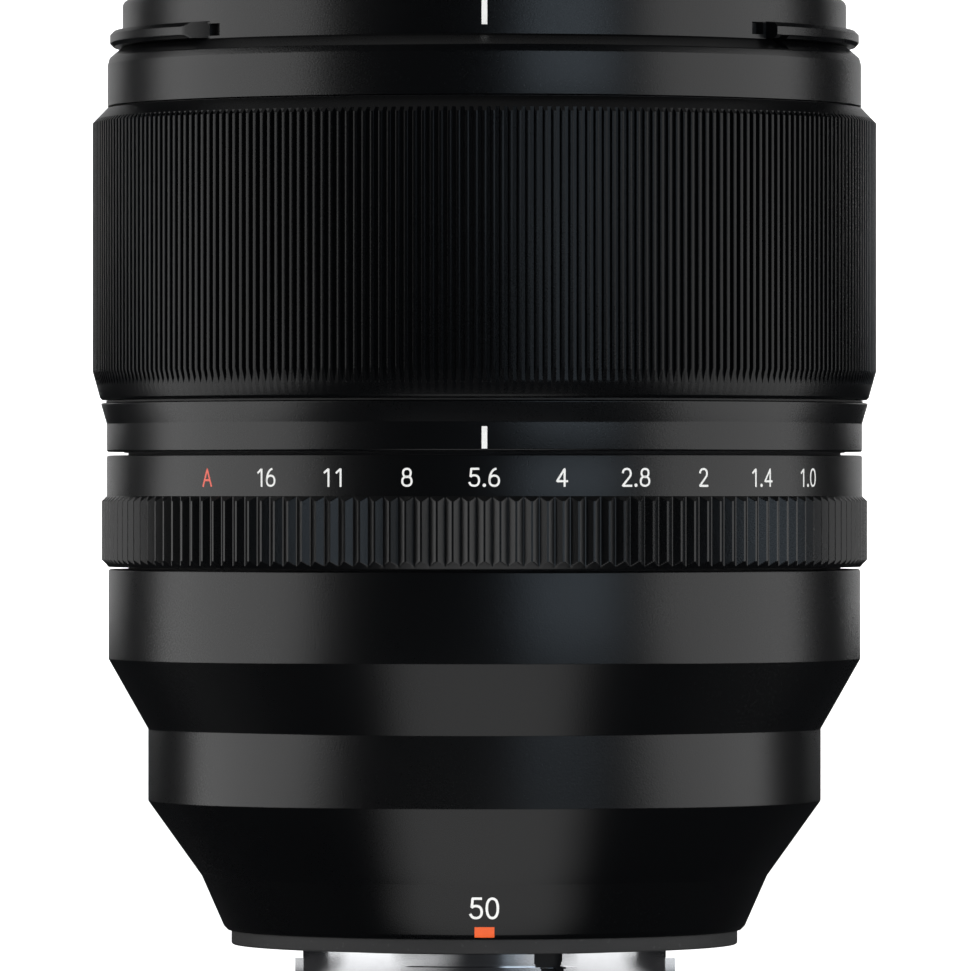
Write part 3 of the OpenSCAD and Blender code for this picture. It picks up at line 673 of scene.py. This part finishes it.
@dataclass
class Lettering:
    """Signs and bars painted on a turned surface, whose radius is a number or a function of height."""

    name: str
    radius: float | Callable[[np.ndarray], np.ndarray]
    brush: Brush
    points: list[np.ndarray] = field(default_factory=list)
    faces: list[np.ndarray] = field(default_factory=list)
    count: int = 0

    def add(self, angle: float, base: float, path: np.ndarray, closed: bool = False,
            brush: Brush | None = None) -> None:
        """Wraps one stroke onto the surface: along becomes an angle, up a height, out a change of radius."""
        flat, faces = (brush or self.brush).sweep(path, closed)
        z = base + flat[:, 1]
        r = self.radius(z) if callable(self.radius) else self.radius + 0 * z
        a = dial(angle) + flat[:, 0] / r
        self.points.append(np.stack([(r + flat[:, 2]) * np.cos(a), (r + flat[:, 2]) * np.sin(a), z], -1))
        self.faces.append(faces + self.count)
        self.count += len(flat)

    def write(self, text: str, angle: float, base: float, height: float, gap: float = 0.2) -> None:
        """Writes a text centred on a dial angle, its feet at base, with a gap between signs in cap heights."""
        drawn = signs()
        size = height - self.brush.width
        width = (sum(drawn[c][0] for c in text) + gap * (len(text) - 1)) * size
        x = -width / 2
        for c in text:
            sign_width, strokes = drawn[c]
            for stroke in strokes:
                path = stroke.points * size + np.array([x, self.brush.width / 2])
                self.add(angle, base, path, stroke.closed)
            x += (sign_width + gap) * size

    def bar(self, angle: float, low: float, high: float, width: float) -> None:
        """Paints an upright bar with square ends."""
        path = np.stack([np.zeros(6), np.linspace(width / 2, high - low - width / 2, 6)], -1)
        self.add(angle, low, path, brush=Brush(width, self.brush.lift, self.brush.sink))

    def slab(self, angle: float, low: float, half_width: float) -> None:
        """Paints a lying bar, as high as the brush is wide, to half_width on each side of a dial angle."""
        reach = half_width - self.brush.width / 2
        path = np.stack([np.linspace(-reach, reach, 9), np.full(9, self.brush.width / 2)], -1)
        self.add(angle, low, path)

    def make(self) -> bpy.types.Object:
        """Builds the mesh of everything written."""
        return make_mesh(self.name, np.concatenate(self.points), [np.concatenate(self.faces)], 60.0)


# ---- Sub-assemblies ----


@dataclass(frozen=True)
class FrontBarrel:
    """The front barrel: filter thread, hood bayonet ribs with their stop holes, name ring and index bar.

    left_rib holds the dial angles of its far end, of the top of its ramp and of the foot of its ramp, and
    right_rib those of its two ends. A notch is a stop hole: two dial angles and two heights. The skin of the
    bore starts spigot_h above the CAD barrel's lower end.
    """

    rim_r: float = 40.17
    skirt_r: float = 41.83
    shoulder_z: float = 98.1
    skirt_z: float = 96.8
    rib_r: float = 41.58
    rib_low: float = 98.3
    rib_high: float = 100.1
    bore_r: float = 39.35
    skirt_low: float = 91.66
    spigot_h: float = 8.2
    thread_r: float = 38.1
    thread_z: tuple[float, float] = (98.35, 102.95)
    thread_pitch: float = 0.75
    thread_depth: float = 0.36
    thread_wall: float = 0.6
    columns: int = 1080
    left_rib: tuple[float, float, float] = (-130.0, -52.2, -48.0)
    right_rib: tuple[float, float] = (49.7, 130.0)
    notches: tuple[tuple[float, float, float, float], ...] = (
        (-48.0, -45.7, 98.56, 99.83), (46.6, 49.0, 98.7, 100.0), (51.2, 52.8, 97.35, 98.6))
    notch_depth: float = 0.8

    def lift(self, angle: np.ndarray) -> np.ndarray:
        """Returns the share of a rib's full height at a dial angle: 1 on a rib, a ramp before the left one."""
        low, full, start = self.left_rib
        left = np.clip((start - angle) / (start - full), 0, 1) * (angle > low)
        right = (angle > self.right_rib[0]) & (angle < self.right_rib[1])
        return np.maximum(left, right)

    def shape(self, angle: np.ndarray, r: np.ndarray, z: np.ndarray) -> np.ndarray:
        """Raises the ribs and sinks the notches on the outer wall."""
        outer = r > self.rim_r - 0.9
        chamfer = np.minimum(self.rib_r - 0.4 + (z - self.rib_low), self.rib_r - 0.5 + (self.rib_high - z))
        top = np.where((z >= self.rib_low) & (z <= self.rib_high), np.minimum(self.rib_r, chamfer), 0)
        ribs = np.minimum(top, self.rim_r + self.lift(angle) * (self.rib_r - self.rim_r))
        out = np.where(outer, np.maximum(r + 0 * angle, ribs), r)
        for a0, a1, z0, z1 in self.notches:
            inside = outer & (angle > a0) & (angle < a1) & (z > z0) & (z < z1)
            out = np.where(inside, self.rim_r - self.notch_depth, out)
        return out

    def profile(self) -> np.ndarray:
        """Returns the closed profile: outside from the skirt up, over the rim and down the bore."""
        low, high, _ = span("front_barrel")
        wall = [Corner(self.rim_r, z) for z in np.arange(self.shoulder_z + 0.12, self.rib_high + 0.3, 0.09)]
        return rounded([
            Corner(self.bore_r, self.skirt_low), Corner(self.skirt_r, self.skirt_low, 0.06),
            Corner(self.skirt_r, self.skirt_z - 0.5, 0.5), Corner(41.62, 97.05, 0.3), Corner(40.5, 98.0, 0.4),
            *wall, Corner(self.rim_r, high - 1.2), Corner(self.rim_r, high, 0.75), Corner(39.0, high, 0.12),
            Corner(self.thread_r + 0.35, high - 0.6), Corner(self.thread_r + 0.35, 98.3),
            Corner(self.bore_r, 98.0), Corner(self.bore_r, low + self.spigot_h)])

    def build(self, finishes: Finishes) -> None:
        """Builds and dresses the barrel, its thread, the name ring and the index bar."""
        barrel = turned("front_barrel_shell", self.profile(), self.columns, self.shape)
        finishes.dress(seat(barrel, "root", "front_barrel"), Slot.BARREL)
        self.build_thread(finishes)
        low, high, _ = span("name_ring")
        ring = turned("name_ring_cone", rounded([
            Corner(33.0, low + 0.1), Corner(33.0, low + 0.35, 0.08), Corner(35.2, low + 0.85, 0.1),
            Corner(37.2, low + 1.55, 0.15), Corner(37.3, high, 0.12), Corner(38.4, high, 0.1),
            Corner(38.4, low)]))
        finishes.dress(seat(ring, "root", "name_ring"), Slot.BARREL)
        mark = Lettering("front_index_bar", self.rim_r, Brush(0.6))
        mark.bar(0.0, 99.2, 102.4, 0.62)
        finishes.dress(seat(mark.make(), "root"), Slot.BARREL, finishes.white)

    def build_thread(self, finishes: Finishes) -> None:
        """Builds the filter thread: radius r = r0 + depth * |2 frac(z / pitch - angle / 360) - 1|."""
        low, high = self.thread_z
        rows = np.linspace(low, high, 49)
        back = self.thread_r + self.thread_wall
        wall = np.stack([np.full(len(rows), self.thread_r), rows], -1)
        loop = np.concatenate([wall, [[back, high], [back, low]]])

        def shape(angle: np.ndarray, r: np.ndarray, z: np.ndarray) -> np.ndarray:
            """Cuts the helical groove into the bore's wall."""
            phase = np.mod(z / self.thread_pitch - angle / 360.0, 1.0)
            cut = self.thread_depth * np.abs(2 * phase - 1)
            return np.where(r < self.thread_r + 0.1, r + cut, r + 0 * angle)

        thread = seat(turned("filter_thread", loop, 720, shape, 75.0), "root")
        finishes.dress(thread, Slot.BARREL)


@dataclass(frozen=True)
class FocusRing:
    """The focus ring with its fine upright ribs between a chamfer above and a cone below."""

    ribs: int = 290
    depth: float = 0.45
    top_share: tuple[float, ...] = (0.34, 0.43, 0.5, 0.56)
    top_drop: tuple[float, ...] = (0.0, 0.02, 0.12, 0.45)
    chamfer_foot_drop: float = 1.65
    land_h: float = 27.5
    bore: float = 41.5
    top_r: float = 41.9
    foot_r: float = 42.68

    def build(self, finishes: Finishes) -> None:
        """Builds and dresses the ring."""
        low, high, crest = span("focus_ring")
        land_top = high - self.chamfer_foot_drop
        land_low = land_top - self.land_h
        foot = low + 0.25
        fade = np.array([0.2, 0.5, 0.8, 1.0]) * self.depth
        top_share = fade[::-1] / (crest - self.top_r)
        low_share = fade / (crest - self.foot_r)
        top_rows = [Corner(crest + t * (self.top_r - crest), land_top + t * (high - land_top))
                    for t in top_share]
        low_rows = [Corner(crest + t * (self.foot_r - crest), land_low + t * (foot - land_low))
                    for t in low_share]
        loop = rounded([
            Corner(self.bore, high), Corner(self.top_r, high, 0.06), *top_rows, Corner(crest, land_top),
            Corner(crest, land_low), *low_rows, Corner(self.foot_r, foot, 0.08),
            Corner(self.foot_r - 0.23, low, 0.05), Corner(self.bore, low)], steps=2)

        def shape(angle: np.ndarray, r: np.ndarray, z: np.ndarray) -> np.ndarray:
            """Cuts the ribs: |s|, from 0 on a crest to 1 in a valley, gives the drop below the crest."""
            s = np.abs(np.mod(angle * self.ribs / 180.0 + 1.0, 2.0) - 1.0)
            return np.minimum(r, crest - np.interp(s, self.top_share, self.top_drop))

        columns = ridge_columns(self.ribs, np.array(self.top_share))
        ring = turned("focus_ring_ribbed", loop, columns, shape, 30.0)
        finishes.dress(seat(ring, "focus_ring", "focus_ring"), Slot.BARREL, finishes.ribbed)


@dataclass(frozen=True)
class IndexRing:
    """The fixed ring between the two turning rings, with the white bar that the stops are read against."""

    band_r: float = 41.93

    def build(self, finishes: Finishes) -> None:
        """Builds and dresses the ring and its bar."""
        low, high, top_r = span("index_ring")
        ring = turned("index_ring_band", rounded([
            Corner(40.1, low), Corner(self.band_r, low, 0.2), Corner(self.band_r, 56.5, 0.6),
            Corner(top_r, high, 0.15), Corner(40.1, high)]))
        finishes.dress(seat(ring, "root", "index_ring"), Slot.BARREL)
        mark = Lettering("index_ring_bar", self.band_r, Brush(0.6))
        mark.bar(0.0, low + 0.2, 56.0, 0.6)
        finishes.dress(seat(mark.make(), "root"), Slot.BARREL, finishes.white)


@dataclass(frozen=True)
class ApertureRing:
    """The aperture ring: a smooth band with the stops, and a grip of upright ridges below it."""

    ridges: int = 156
    depth: float = 0.5
    crest_share: float = 0.13
    valley_share: float = 0.93
    flank_steps: int = 4
    band_r: float = 41.93
    grip_r: float = 42.49
    grip_top: float = 47.95
    bore: float = 39.85
    stop_pitch: float = 11.45
    text_low: float = 49.5
    text_h: float = 2.05
    stops: tuple[str, ...] = ("A", "16", "11", "8", "5.6", "4", "2.8", "2", "1.4", "1.0")
    stop_at_index: str = "5.6"

    def build(self, finishes: Finishes) -> None:
        """Builds and dresses the ring, the white numbers and the red automatic mark."""
        low, high, _ = span("aperture_ring")
        share = np.linspace(self.crest_share, self.valley_share, self.flank_steps + 1)
        drop = np.linspace(0.0, self.depth, self.flank_steps + 1)
        upper = [Corner(self.grip_r - d, self.grip_top + d) for d in drop]
        lower = [Corner(self.grip_r - d, low + 0.8 - d) for d in drop[::-1]]
        loop = rounded([Corner(self.bore, low), Corner(41.75, low, 0.05), *lower, *upper,
                        Corner(self.band_r, 48.5), Corner(self.band_r, 48.62), Corner(self.band_r, high, 0.2),
                        Corner(self.bore, high)], steps=3)

        def shape(angle: np.ndarray, r: np.ndarray, z: np.ndarray) -> np.ndarray:
            """Cuts V-shaped valleys: |s|, from 0 on a crest to 1 in a valley, gives the drop."""
            s = np.abs(np.mod(angle * self.ridges / 180.0 + 1.0, 2.0) - 1.0)
            return np.where(z < 48.55, np.minimum(r, self.grip_r - np.interp(s, share, drop)), r)

        ring = turned("aperture_ring_ridged", loop, ridge_columns(self.ridges, share), shape, 25.0)
        finishes.dress(seat(ring, "aperture_ring", "aperture_ring"), Slot.BARREL)
        zero = self.stops.index(self.stop_at_index)
        white = Lettering("stop_numbers", self.band_r, Brush(0.235))
        red = Lettering("stop_automatic", self.band_r, Brush(0.235))
        for k, text in enumerate(self.stops):
            target = red if text == "A" else white
            target.write(text, (k - zero) * self.stop_pitch, self.text_low, self.text_h)
        finishes.dress(seat(white.make(), "aperture_ring"), Slot.BARREL, finishes.white)
        finishes.dress(seat(red.make(), "aperture_ring"), Slot.BARREL, finishes.red)


@dataclass(frozen=True)
class RearBarrel:
    """The rear barrel: two cones and a waist, with the focal length on the lower cone."""

    waist_r: float = 37.33
    foot_r: float = 28.94
    foot_z: float = 0.87
    break_r: float = 31.39
    break_z: float = 6.42
    text: str = "50"

    def cone(self, z: np.ndarray) -> np.ndarray:
        """Returns the radius of the lowest cone at a height."""
        return self.foot_r + (z - self.foot_z) * (self.break_r - self.foot_r) / (self.break_z - self.foot_z)

    def foot(self, z: np.ndarray) -> np.ndarray:
        """Returns the radius of the barrel's foot, with its bevel below the lowest cone."""
        return np.minimum(self.cone(z), self.foot_r - (self.foot_z - z))

    def build(self, finishes: Finishes) -> None:
        """Builds and dresses the barrel, its figures and the orange mounting mark."""
        low, high, top_r = span("rear_barrel")
        barrel = turned("rear_barrel_shell", rounded([
            Corner(26.8, low), Corner(28.5, low, 0.05), Corner(self.foot_r, low + 0.45, 0.5),
            Corner(self.break_r, self.break_z, 0.1), Corner(self.waist_r, 14.72, 0.3),
            Corner(self.waist_r, 22.69, 0.3),
            Corner(top_r, 30.44, 0.25), Corner(top_r, high, 0.22), Corner(39.65, high), Corner(39.65, 34.0),
            Corner(37.3, 33.0), Corner(35.6, 22.9), Corner(35.6, 15.2), Corner(29.8, 7.0), Corner(28.2, 4.5),
            Corner(19.2, 4.5), Corner(19.2, 1.65), Corner(26.8, 1.65)]), 512)
        finishes.dress(seat(barrel, "root", "rear_barrel"), Slot.BARREL)
        figures = Lettering("focal_length_figures", self.cone, Brush(0.28))
        figures.write(self.text, 0.0, 2.63, 2.42, 0.26)
        finishes.dress(seat(figures.make(), "root"), Slot.BARREL, finishes.white)
        low, high, half_width = span("mount_index_bar")
        bar = Lettering("mount_index_bar_face", self.foot, Brush(high - low, 0.03, 0.4))
        bar.slab(0.0, low, half_width)
        finishes.dress(seat(bar.make(), "root", "mount_index_bar"), Slot.INDEX)


@dataclass(frozen=True)
class Mount:
    """The bayonet: plated flange and tube with three lugs and a relief, and the rubber seal round it.

    A lug is two dial angles, and the relief two dial angles and its lowest height.
    """

    tube_r: float = 20.15
    lug_r: float = 21.6
    lug_top: float = -2.97
    lug_h: float = 1.7
    lugs: tuple[tuple[float, float], ...] = ((-25.3, 28.2), (-140.0, -102.0), (100.0, 140.0))
    relief: tuple[float, float, float] = (15.7, 24.75, -3.2)
    relief_depth: float = 1.0
    # A dark slab in the relief paints its shade: shade_slab_r is its radius, and shade_slab_overlap how far it
    # reaches past each side of the relief.
    shade_slab_r: float = 19.35
    shade_slab_overlap: float = 1.25
    seal_bore_r: float = 26.9
    seal_r: float = 28.085
    seal_z: tuple[float, float] = (-1.2, 0.4)

    def shape(self, angle: np.ndarray, r: np.ndarray, z: np.ndarray) -> np.ndarray:
        """Raises the lugs on the tube and cuts the relief with its rounded lower corners."""
        out = r + 0 * angle
        tube = (np.abs(r - self.tube_r) < 0.35) & (z < -0.01)
        low = self.lug_top - self.lug_h
        on = np.zeros_like(angle, bool)
        for a0, a1 in self.lugs:
            on |= (angle > a0) & (angle < a1)
        out = np.where(tube & on & (z >= low) & (z <= self.lug_top), self.lug_r, out)
        a0, a1, foot = self.relief
        middle, half = (a0 + a1) / 2, (a1 - a0) / 2
        across = (angle - middle) / half
        edge = foot + 0.9 * np.clip(np.abs(across) * 3.0 - 2.0, 0, 1) ** 2
        return np.where(tube & (np.abs(across) < 1) & (z > edge), self.tube_r - self.relief_depth, out)

    def build(self, finishes: Finishes) -> None:
        """Builds and dresses the plate, a dark slab in its relief that paints the shade there, and the seal."""
        low, high, plate_r = span("mount_plate")
        lug_low = self.lug_top - self.lug_h
        heights = [*np.arange(-1.75, self.lug_top + 0.02, -0.12), self.lug_top + 0.004, self.lug_top - 0.001,
                   self.lug_top - 0.2, -3.6, lug_low + 0.001, lug_low - 0.004]
        plate = turned("bayonet_plate", rounded([
            Corner(18.6, high), Corner(plate_r, high), Corner(plate_r, 0.0), Corner(self.tube_r + 0.3, 0.0),
            Corner(self.tube_r + 0.3, -1.3), Corner(self.tube_r, -1.6),
            *(Corner(self.tube_r, z) for z in heights),
            Corner(self.tube_r, low, 0.25), Corner(18.6, low, 0.2)], steps=3), 1080, self.shape)
        finishes.dress(seat(plate, "root", "mount_plate"), Slot.CHROME)
        a0, a1, foot = self.relief
        half_width = math.radians(a1 - a0) / 2 * self.tube_r + self.shade_slab_overlap
        # A dark slab in the relief stands for the shade there.
        relief_shade_slab = Lettering("relief_painted_shade", self.shade_slab_r, Brush(-foot - 0.1, 0.03, 0.1))
        relief_shade_slab.slab((a0 + a1) / 2, foot + 0.05, half_width)
        finishes.dress(seat(relief_shade_slab.make(), "root"), Slot.PLASTIC)
        low, high = self.seal_z
        seal = turned("mount_seal_ring", rounded([
            Corner(self.seal_bore_r, low, 0.1), Corner(self.seal_r, low, 0.25), Corner(self.seal_r, high, 0.1),
            Corner(self.seal_bore_r, high, 0.1)]), 512)
        finishes.dress(seat(seal, "root", "mount_seal"), Slot.SEAL)


@dataclass(frozen=True)
class Element:
    """A glass element: CAD node, body, front vertex and curve, back vertex and curve. 0 is flat."""

    node: str
    body: str
    front: float
    front_curve: float
    back: float
    back_curve: float

    def sag(self, curve: float, r: np.ndarray) -> np.ndarray:
        """Returns how far a surface of that curve falls at a radius: c - sqrt(c^2 - r^2)."""
        if curve == 0:
            return 0 * r
        return math.copysign(1, curve) * (abs(curve) - np.sqrt(curve**2 - r**2))

    def build(self, finishes: Finishes) -> None:
        """Builds and dresses the element."""
        _, _, edge = span(self.node)
        edge -= 0.02
        r = np.concatenate([np.linspace(0, edge - 0.15, 33), [edge]])
        front = self.front - self.sag(self.front_curve, r)
        back = self.back + self.sag(self.back_curve, r)
        front[-1] -= 0.15
        back[-1] += 0.15
        profile = np.concatenate([np.stack([r, front], -1), np.stack([r, back], -1)[::-1]])
        lens = seat(turned_lens(self.node + "_glass", profile, 192), self.body, self.node)
        finishes.dress(lens, Slot.GLASS)


ELEMENTS = (
    Element("front_element_1", "root", 96.2, 75, 86.2, 0),
    Element("front_element_2", "root", 84.8, 60, 78, -110),
    Element("front_element_3", "root", 73.5, 55, 66.4, 0),
    Element("front_element_4", "root", 66.38, 0, 64.9, -150),
    Element("focus_element_1", "focus_group", 47, 45, 38.62, 0),
    Element("focus_element_2", "focus_group", 38.6, 0, 36.9, -60),
    Element("focus_element_3", "focus_group", 34.6, 50, 28.6, 0),
    Element("rear_element_1", "root", 22.5, -50, 16, 80),
    Element("rear_element_2", "root", 10.4, 60, 3.9, 120),
)


def dress_nodes(frame: dict, finishes: Finishes) -> None:
    """Gives every CAD node that still shows the finish of its slot in the record."""
    for part in frame["record"]["subparts"]:
        obj = frame["nodes"][part["node"]]
        if not obj.hide_render:
            finishes.dress(obj, Slot(part["material_slot"]))
            LOG.info("%s keeps its CAD shape", part["node"])


# ---- Studio ----


@dataclass(frozen=True)
class Panel:
    """A soft light that faces the lens: place and size in metres, power in watts.

    mirrored says whether glossy surfaces show the panel.
    """

    name: str
    place: tuple[float, float, float]
    size: tuple[float, float]
    power: float
    colour: Colour = WHITE
    mirrored: bool = True


@dataclass(frozen=True)
class Studio:
    """Pale floor and backdrop, soft lights and the camera.

    Lengths are metres, except focal and sensor, which are millimetres. shift is in sensor widths.
    reflection_sheet_reach pairs dial angles, to either side, with the reach there of the dark sheet that only
    mirrors see and that carries painted reflections and painted shade. The painted reflection of a white
    reflector lies on that sheet between the two painted_card_depth distances and widens by painted_card_spread
    to each side. The backdrop's glow rises between the two backdrop_fade distances from its middle.
    """

    distance: float = 1.218
    eye_height: float = 0.04865
    focal: float = 406.5
    sensor: float = 36.0
    shift: tuple[float, float] = (0.00057, 0.0095)
    panels: tuple[Panel, ...] = (
        Panel("soft_left", (-0.97, -0.10, 0.045), (1.24, 1.0), 6.5),
        Panel("soft_right", (0.95, -0.15, 0.045), (1.15, 1.0), 5.1),
        Panel("fill_right_front", (0.44, -0.93, 0.075), (0.52, 0.5), 1.2, (0.72, 0.86, 1.0)),
        Panel("overhead", (-0.1, 0.15, 1.0), (1.8, 1.2), 1.6),
        Panel("front_diffuse", (0.0, -1.5, 0.4), (1.0, 0.7), 9.0, mirrored=False),
    )
    backdrop_y: float = 2.4
    backdrop_fade: tuple[float, float] = (0.3143, 0.1714)
    # Settings of the dark sheet that only mirrors see, with its painted reflections of a white reflector and of
    # the side lights.
    reflection_sheet_lift: float = 0.0004
    reflection_sheet_reach: tuple[tuple[float, float], ...] = ((0.0, 0.7), (44.0, 0.7), (56.0, 0.085), (105.0, 0.085),
                                                  (180.0, 0.03))
    painted_card_depth: tuple[float, float] = (0.03, 0.115)
    painted_card_spread: float = 0.47
    painted_card_strength: float = 0.83
    world_strength: float = 0.014

    def build(self, floor_z: float) -> None:
        """Builds the floor, the backdrop, the sheet of painted reflections, the lights, the world and the
        camera.

        Args:
            floor_z: height of the floor, in metres.
        """
        self.build_floor(floor_z)
        self.build_backdrop(floor_z)
        self.build_reflection_sheet(floor_z + self.reflection_sheet_lift)
        for panel in self.panels:
            self.light(panel)
        self.build_world()
        data = bpy.data.cameras.new("camera")
        data.lens, data.sensor_width = self.focal, self.sensor
        data.shift_x, data.shift_y = self.shift
        data.clip_start, data.clip_end = 0.01, 50.0
        camera = self.put("camera", data, (0.0, -self.distance, self.eye_height))
        camera.rotation_euler = (math.pi / 2, 0.0, 0.0)
        bpy.context.scene.camera = camera

    @staticmethod
    def put(name: str, data: bpy.types.ID, place: Sequence[float]) -> bpy.types.Object:
        """Makes an object of a light's or camera's data at a place, in metres."""
        obj = bpy.data.objects.new(name, data)
        obj.location = place
        bpy.context.scene.collection.objects.link(obj)
        return obj

    def light(self, panel: Panel) -> None:
        """Hangs a panel and turns it towards the middle of the view."""
        data = bpy.data.lights.new(panel.name, "AREA")
        data.shape, data.size, data.size_y = "RECTANGLE", *panel.size
        data.energy, data.color = panel.power, panel.colour
        lamp = self.put(panel.name, data, panel.place)
        aim = Vector((0.0, 0.0, self.eye_height)) - Vector(panel.place)
        lamp.rotation_euler = aim.to_track_quat("-Z", "Y").to_euler()
        lamp.visible_glossy = panel.mirrored

    @staticmethod
    def sheet(name: str, x: np.ndarray, y: np.ndarray, z: np.ndarray) -> bpy.types.Object:
        """Makes an open sheet that is part of the stage.

        Args:
            name: name of the sheet.
            x: places across, in metres; x, y and z are stretched to one grid.
            y: places in depth, in metres.
            z: heights, in metres.

        Returns:
            The sheet.
        """
        grid = np.stack(np.broadcast_arrays(x, y, z), -1) / MM
        sheet = make_mesh(name, grid.reshape(-1, 3), [grid_faces(*grid.shape[:2], False, False)])
        sheet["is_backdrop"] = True
        return sheet

    def build_floor(self, floor_z: float) -> None:
        """Builds the pale glowing floor, which mirrors do not see."""
        floor = self.sheet("studio_floor", np.array([[-4.0, -1.0, 0.0, 1.0, 4.0]]),
                           np.array([[-4.0], [-1.0], [0.0], [1.0], [6.0]]), floor_z)
        floor.visible_glossy = False
        g = Graph("floor_pale")
        g.set(Base_Color=(0.7, 0.7, 0.7), Roughness=0.9, Emission_Strength=1.1,
              Emission_Color=g.blend(g.noise(3.0, 2.0), (0.97, 0.97, 0.97), WHITE))
        floor.data.materials.append(g.material)

    def build_backdrop(self, floor_z: float) -> None:
        """Builds the wall behind the lens: it glows over the width of the view and is dark beside it."""
        wall = self.sheet("studio_backdrop", np.array([[-1.8, 0.0, 1.8]]), self.backdrop_y,
                          np.array([[floor_z], [0.3], [1.0]]))
        g = Graph("backdrop_white")
        across, _, _ = g.axes()
        glow = abs(across).ramp(*self.backdrop_fade)
        g.set(Base_Color=g.blend(g.noise(3.0, 2.0), (0.8, 0.8, 0.8), (0.82, 0.82, 0.82)), Roughness=0.9,
              Emission_Color=g.blend(glow, (0.03, 0.03, 0.03), WHITE), Emission_Strength=1.0)
        wall.data.materials.append(g.material)

    def build_reflection_sheet(self, z: float) -> None:
        """Lays a dark sheet round the lens, which only mirrors see, and which paints reflections and shade into
        them.

        Seen from above, it glows as a painted reflection of a white reflector in front of the lens. Seen at a
        glancing angle, as from the mount's tube, it glows as painted reflections of the side lights to the left
        and right, and ahead its dark colour paints shade.

        Args:
            z: height of the sheet, in metres.
        """
        angle = np.linspace(-180.0, 180.0, 181)
        reach = np.interp(np.abs(angle), *zip(*self.reflection_sheet_reach)) * np.array([[0.0], [0.5], [1.0]])
        a = dial(angle)
        reflection_sheet = self.sheet("painted_reflection_sheet", reach * np.cos(a), reach * np.sin(a), z)
        reflection_sheet.visible_camera = reflection_sheet.visible_diffuse = reflection_sheet.visible_shadow = False
        g = Graph("painted_reflections_dark")
        across, depth, _ = g.axes()
        beside = abs(across)
        incoming = g.node("ShaderNodeNewGeometry", out="Incoming")
        steepness = g.node("ShaderNodeSeparateXYZ", [incoming], out="Z")
        near, far = self.painted_card_depth
        # Painted reflection of a white reflector: glows for steep rays, in a wedge in front of the lens.
        painted_card_reflection = ((depth * -self.painted_card_spread - beside).ramp(-0.0036, 0.0055) * depth.ramp(-near, -near - 0.0033)
                * depth.ramp(-far, -far + 0.0033) * steepness.ramp(0.25, 0.36))
        # Painted reflections of the side lights: glow for glancing rays beside the lens, and fade further out
        # and behind.
        painted_side_reflections = (beside.ramp(0.0156, 0.0378) * across.length_with(depth).ramp(0.11, 0.09)
                 * steepness.ramp(0.245, 0.12) * depth.ramp(0.004, -0.0085))
        glow = (painted_card_reflection * self.painted_card_strength + painted_side_reflections).clamped()
        # The dark colour and faint glow elsewhere paint shade into the reflections.
        g.set(Base_Color=(0.01, 0.01, 0.01), Roughness=0.9, Emission_Strength=1.0,
              Emission_Color=g.blend(glow, (0.004, 0.004, 0.005), WHITE))
        reflection_sheet.data.materials.append(g.material)

    def build_world(self) -> None:
        """Gives the surroundings an even dim grey."""
        world = bpy.data.worlds.new("studio")
        world.use_nodes = True
        background = world.node_tree.nodes["Background"]
        background.inputs["Color"].default_value = (0.9, 0.93, 1.0, 1.0)
        background.inputs["Strength"].default_value = self.world_strength
        bpy.context.scene.world = world
        bpy.context.scene.view_settings.view_transform = "Standard"


def main() -> None:
    """Builds every sub-assembly in order."""
    logging.basicConfig(level=logging.INFO, format="%(name)s: %(message)s")
    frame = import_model()
    cad_low, cad_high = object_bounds()
    finishes = Finishes()
    for part in (FrontBarrel(), FocusRing(), IndexRing(), ApertureRing(), RearBarrel(), Mount(), *ELEMENTS):
        part.build(finishes)
    dress_nodes(frame, finishes)
    Studio().build(cad_low.z)


if __name__ == "__main__":
    main()
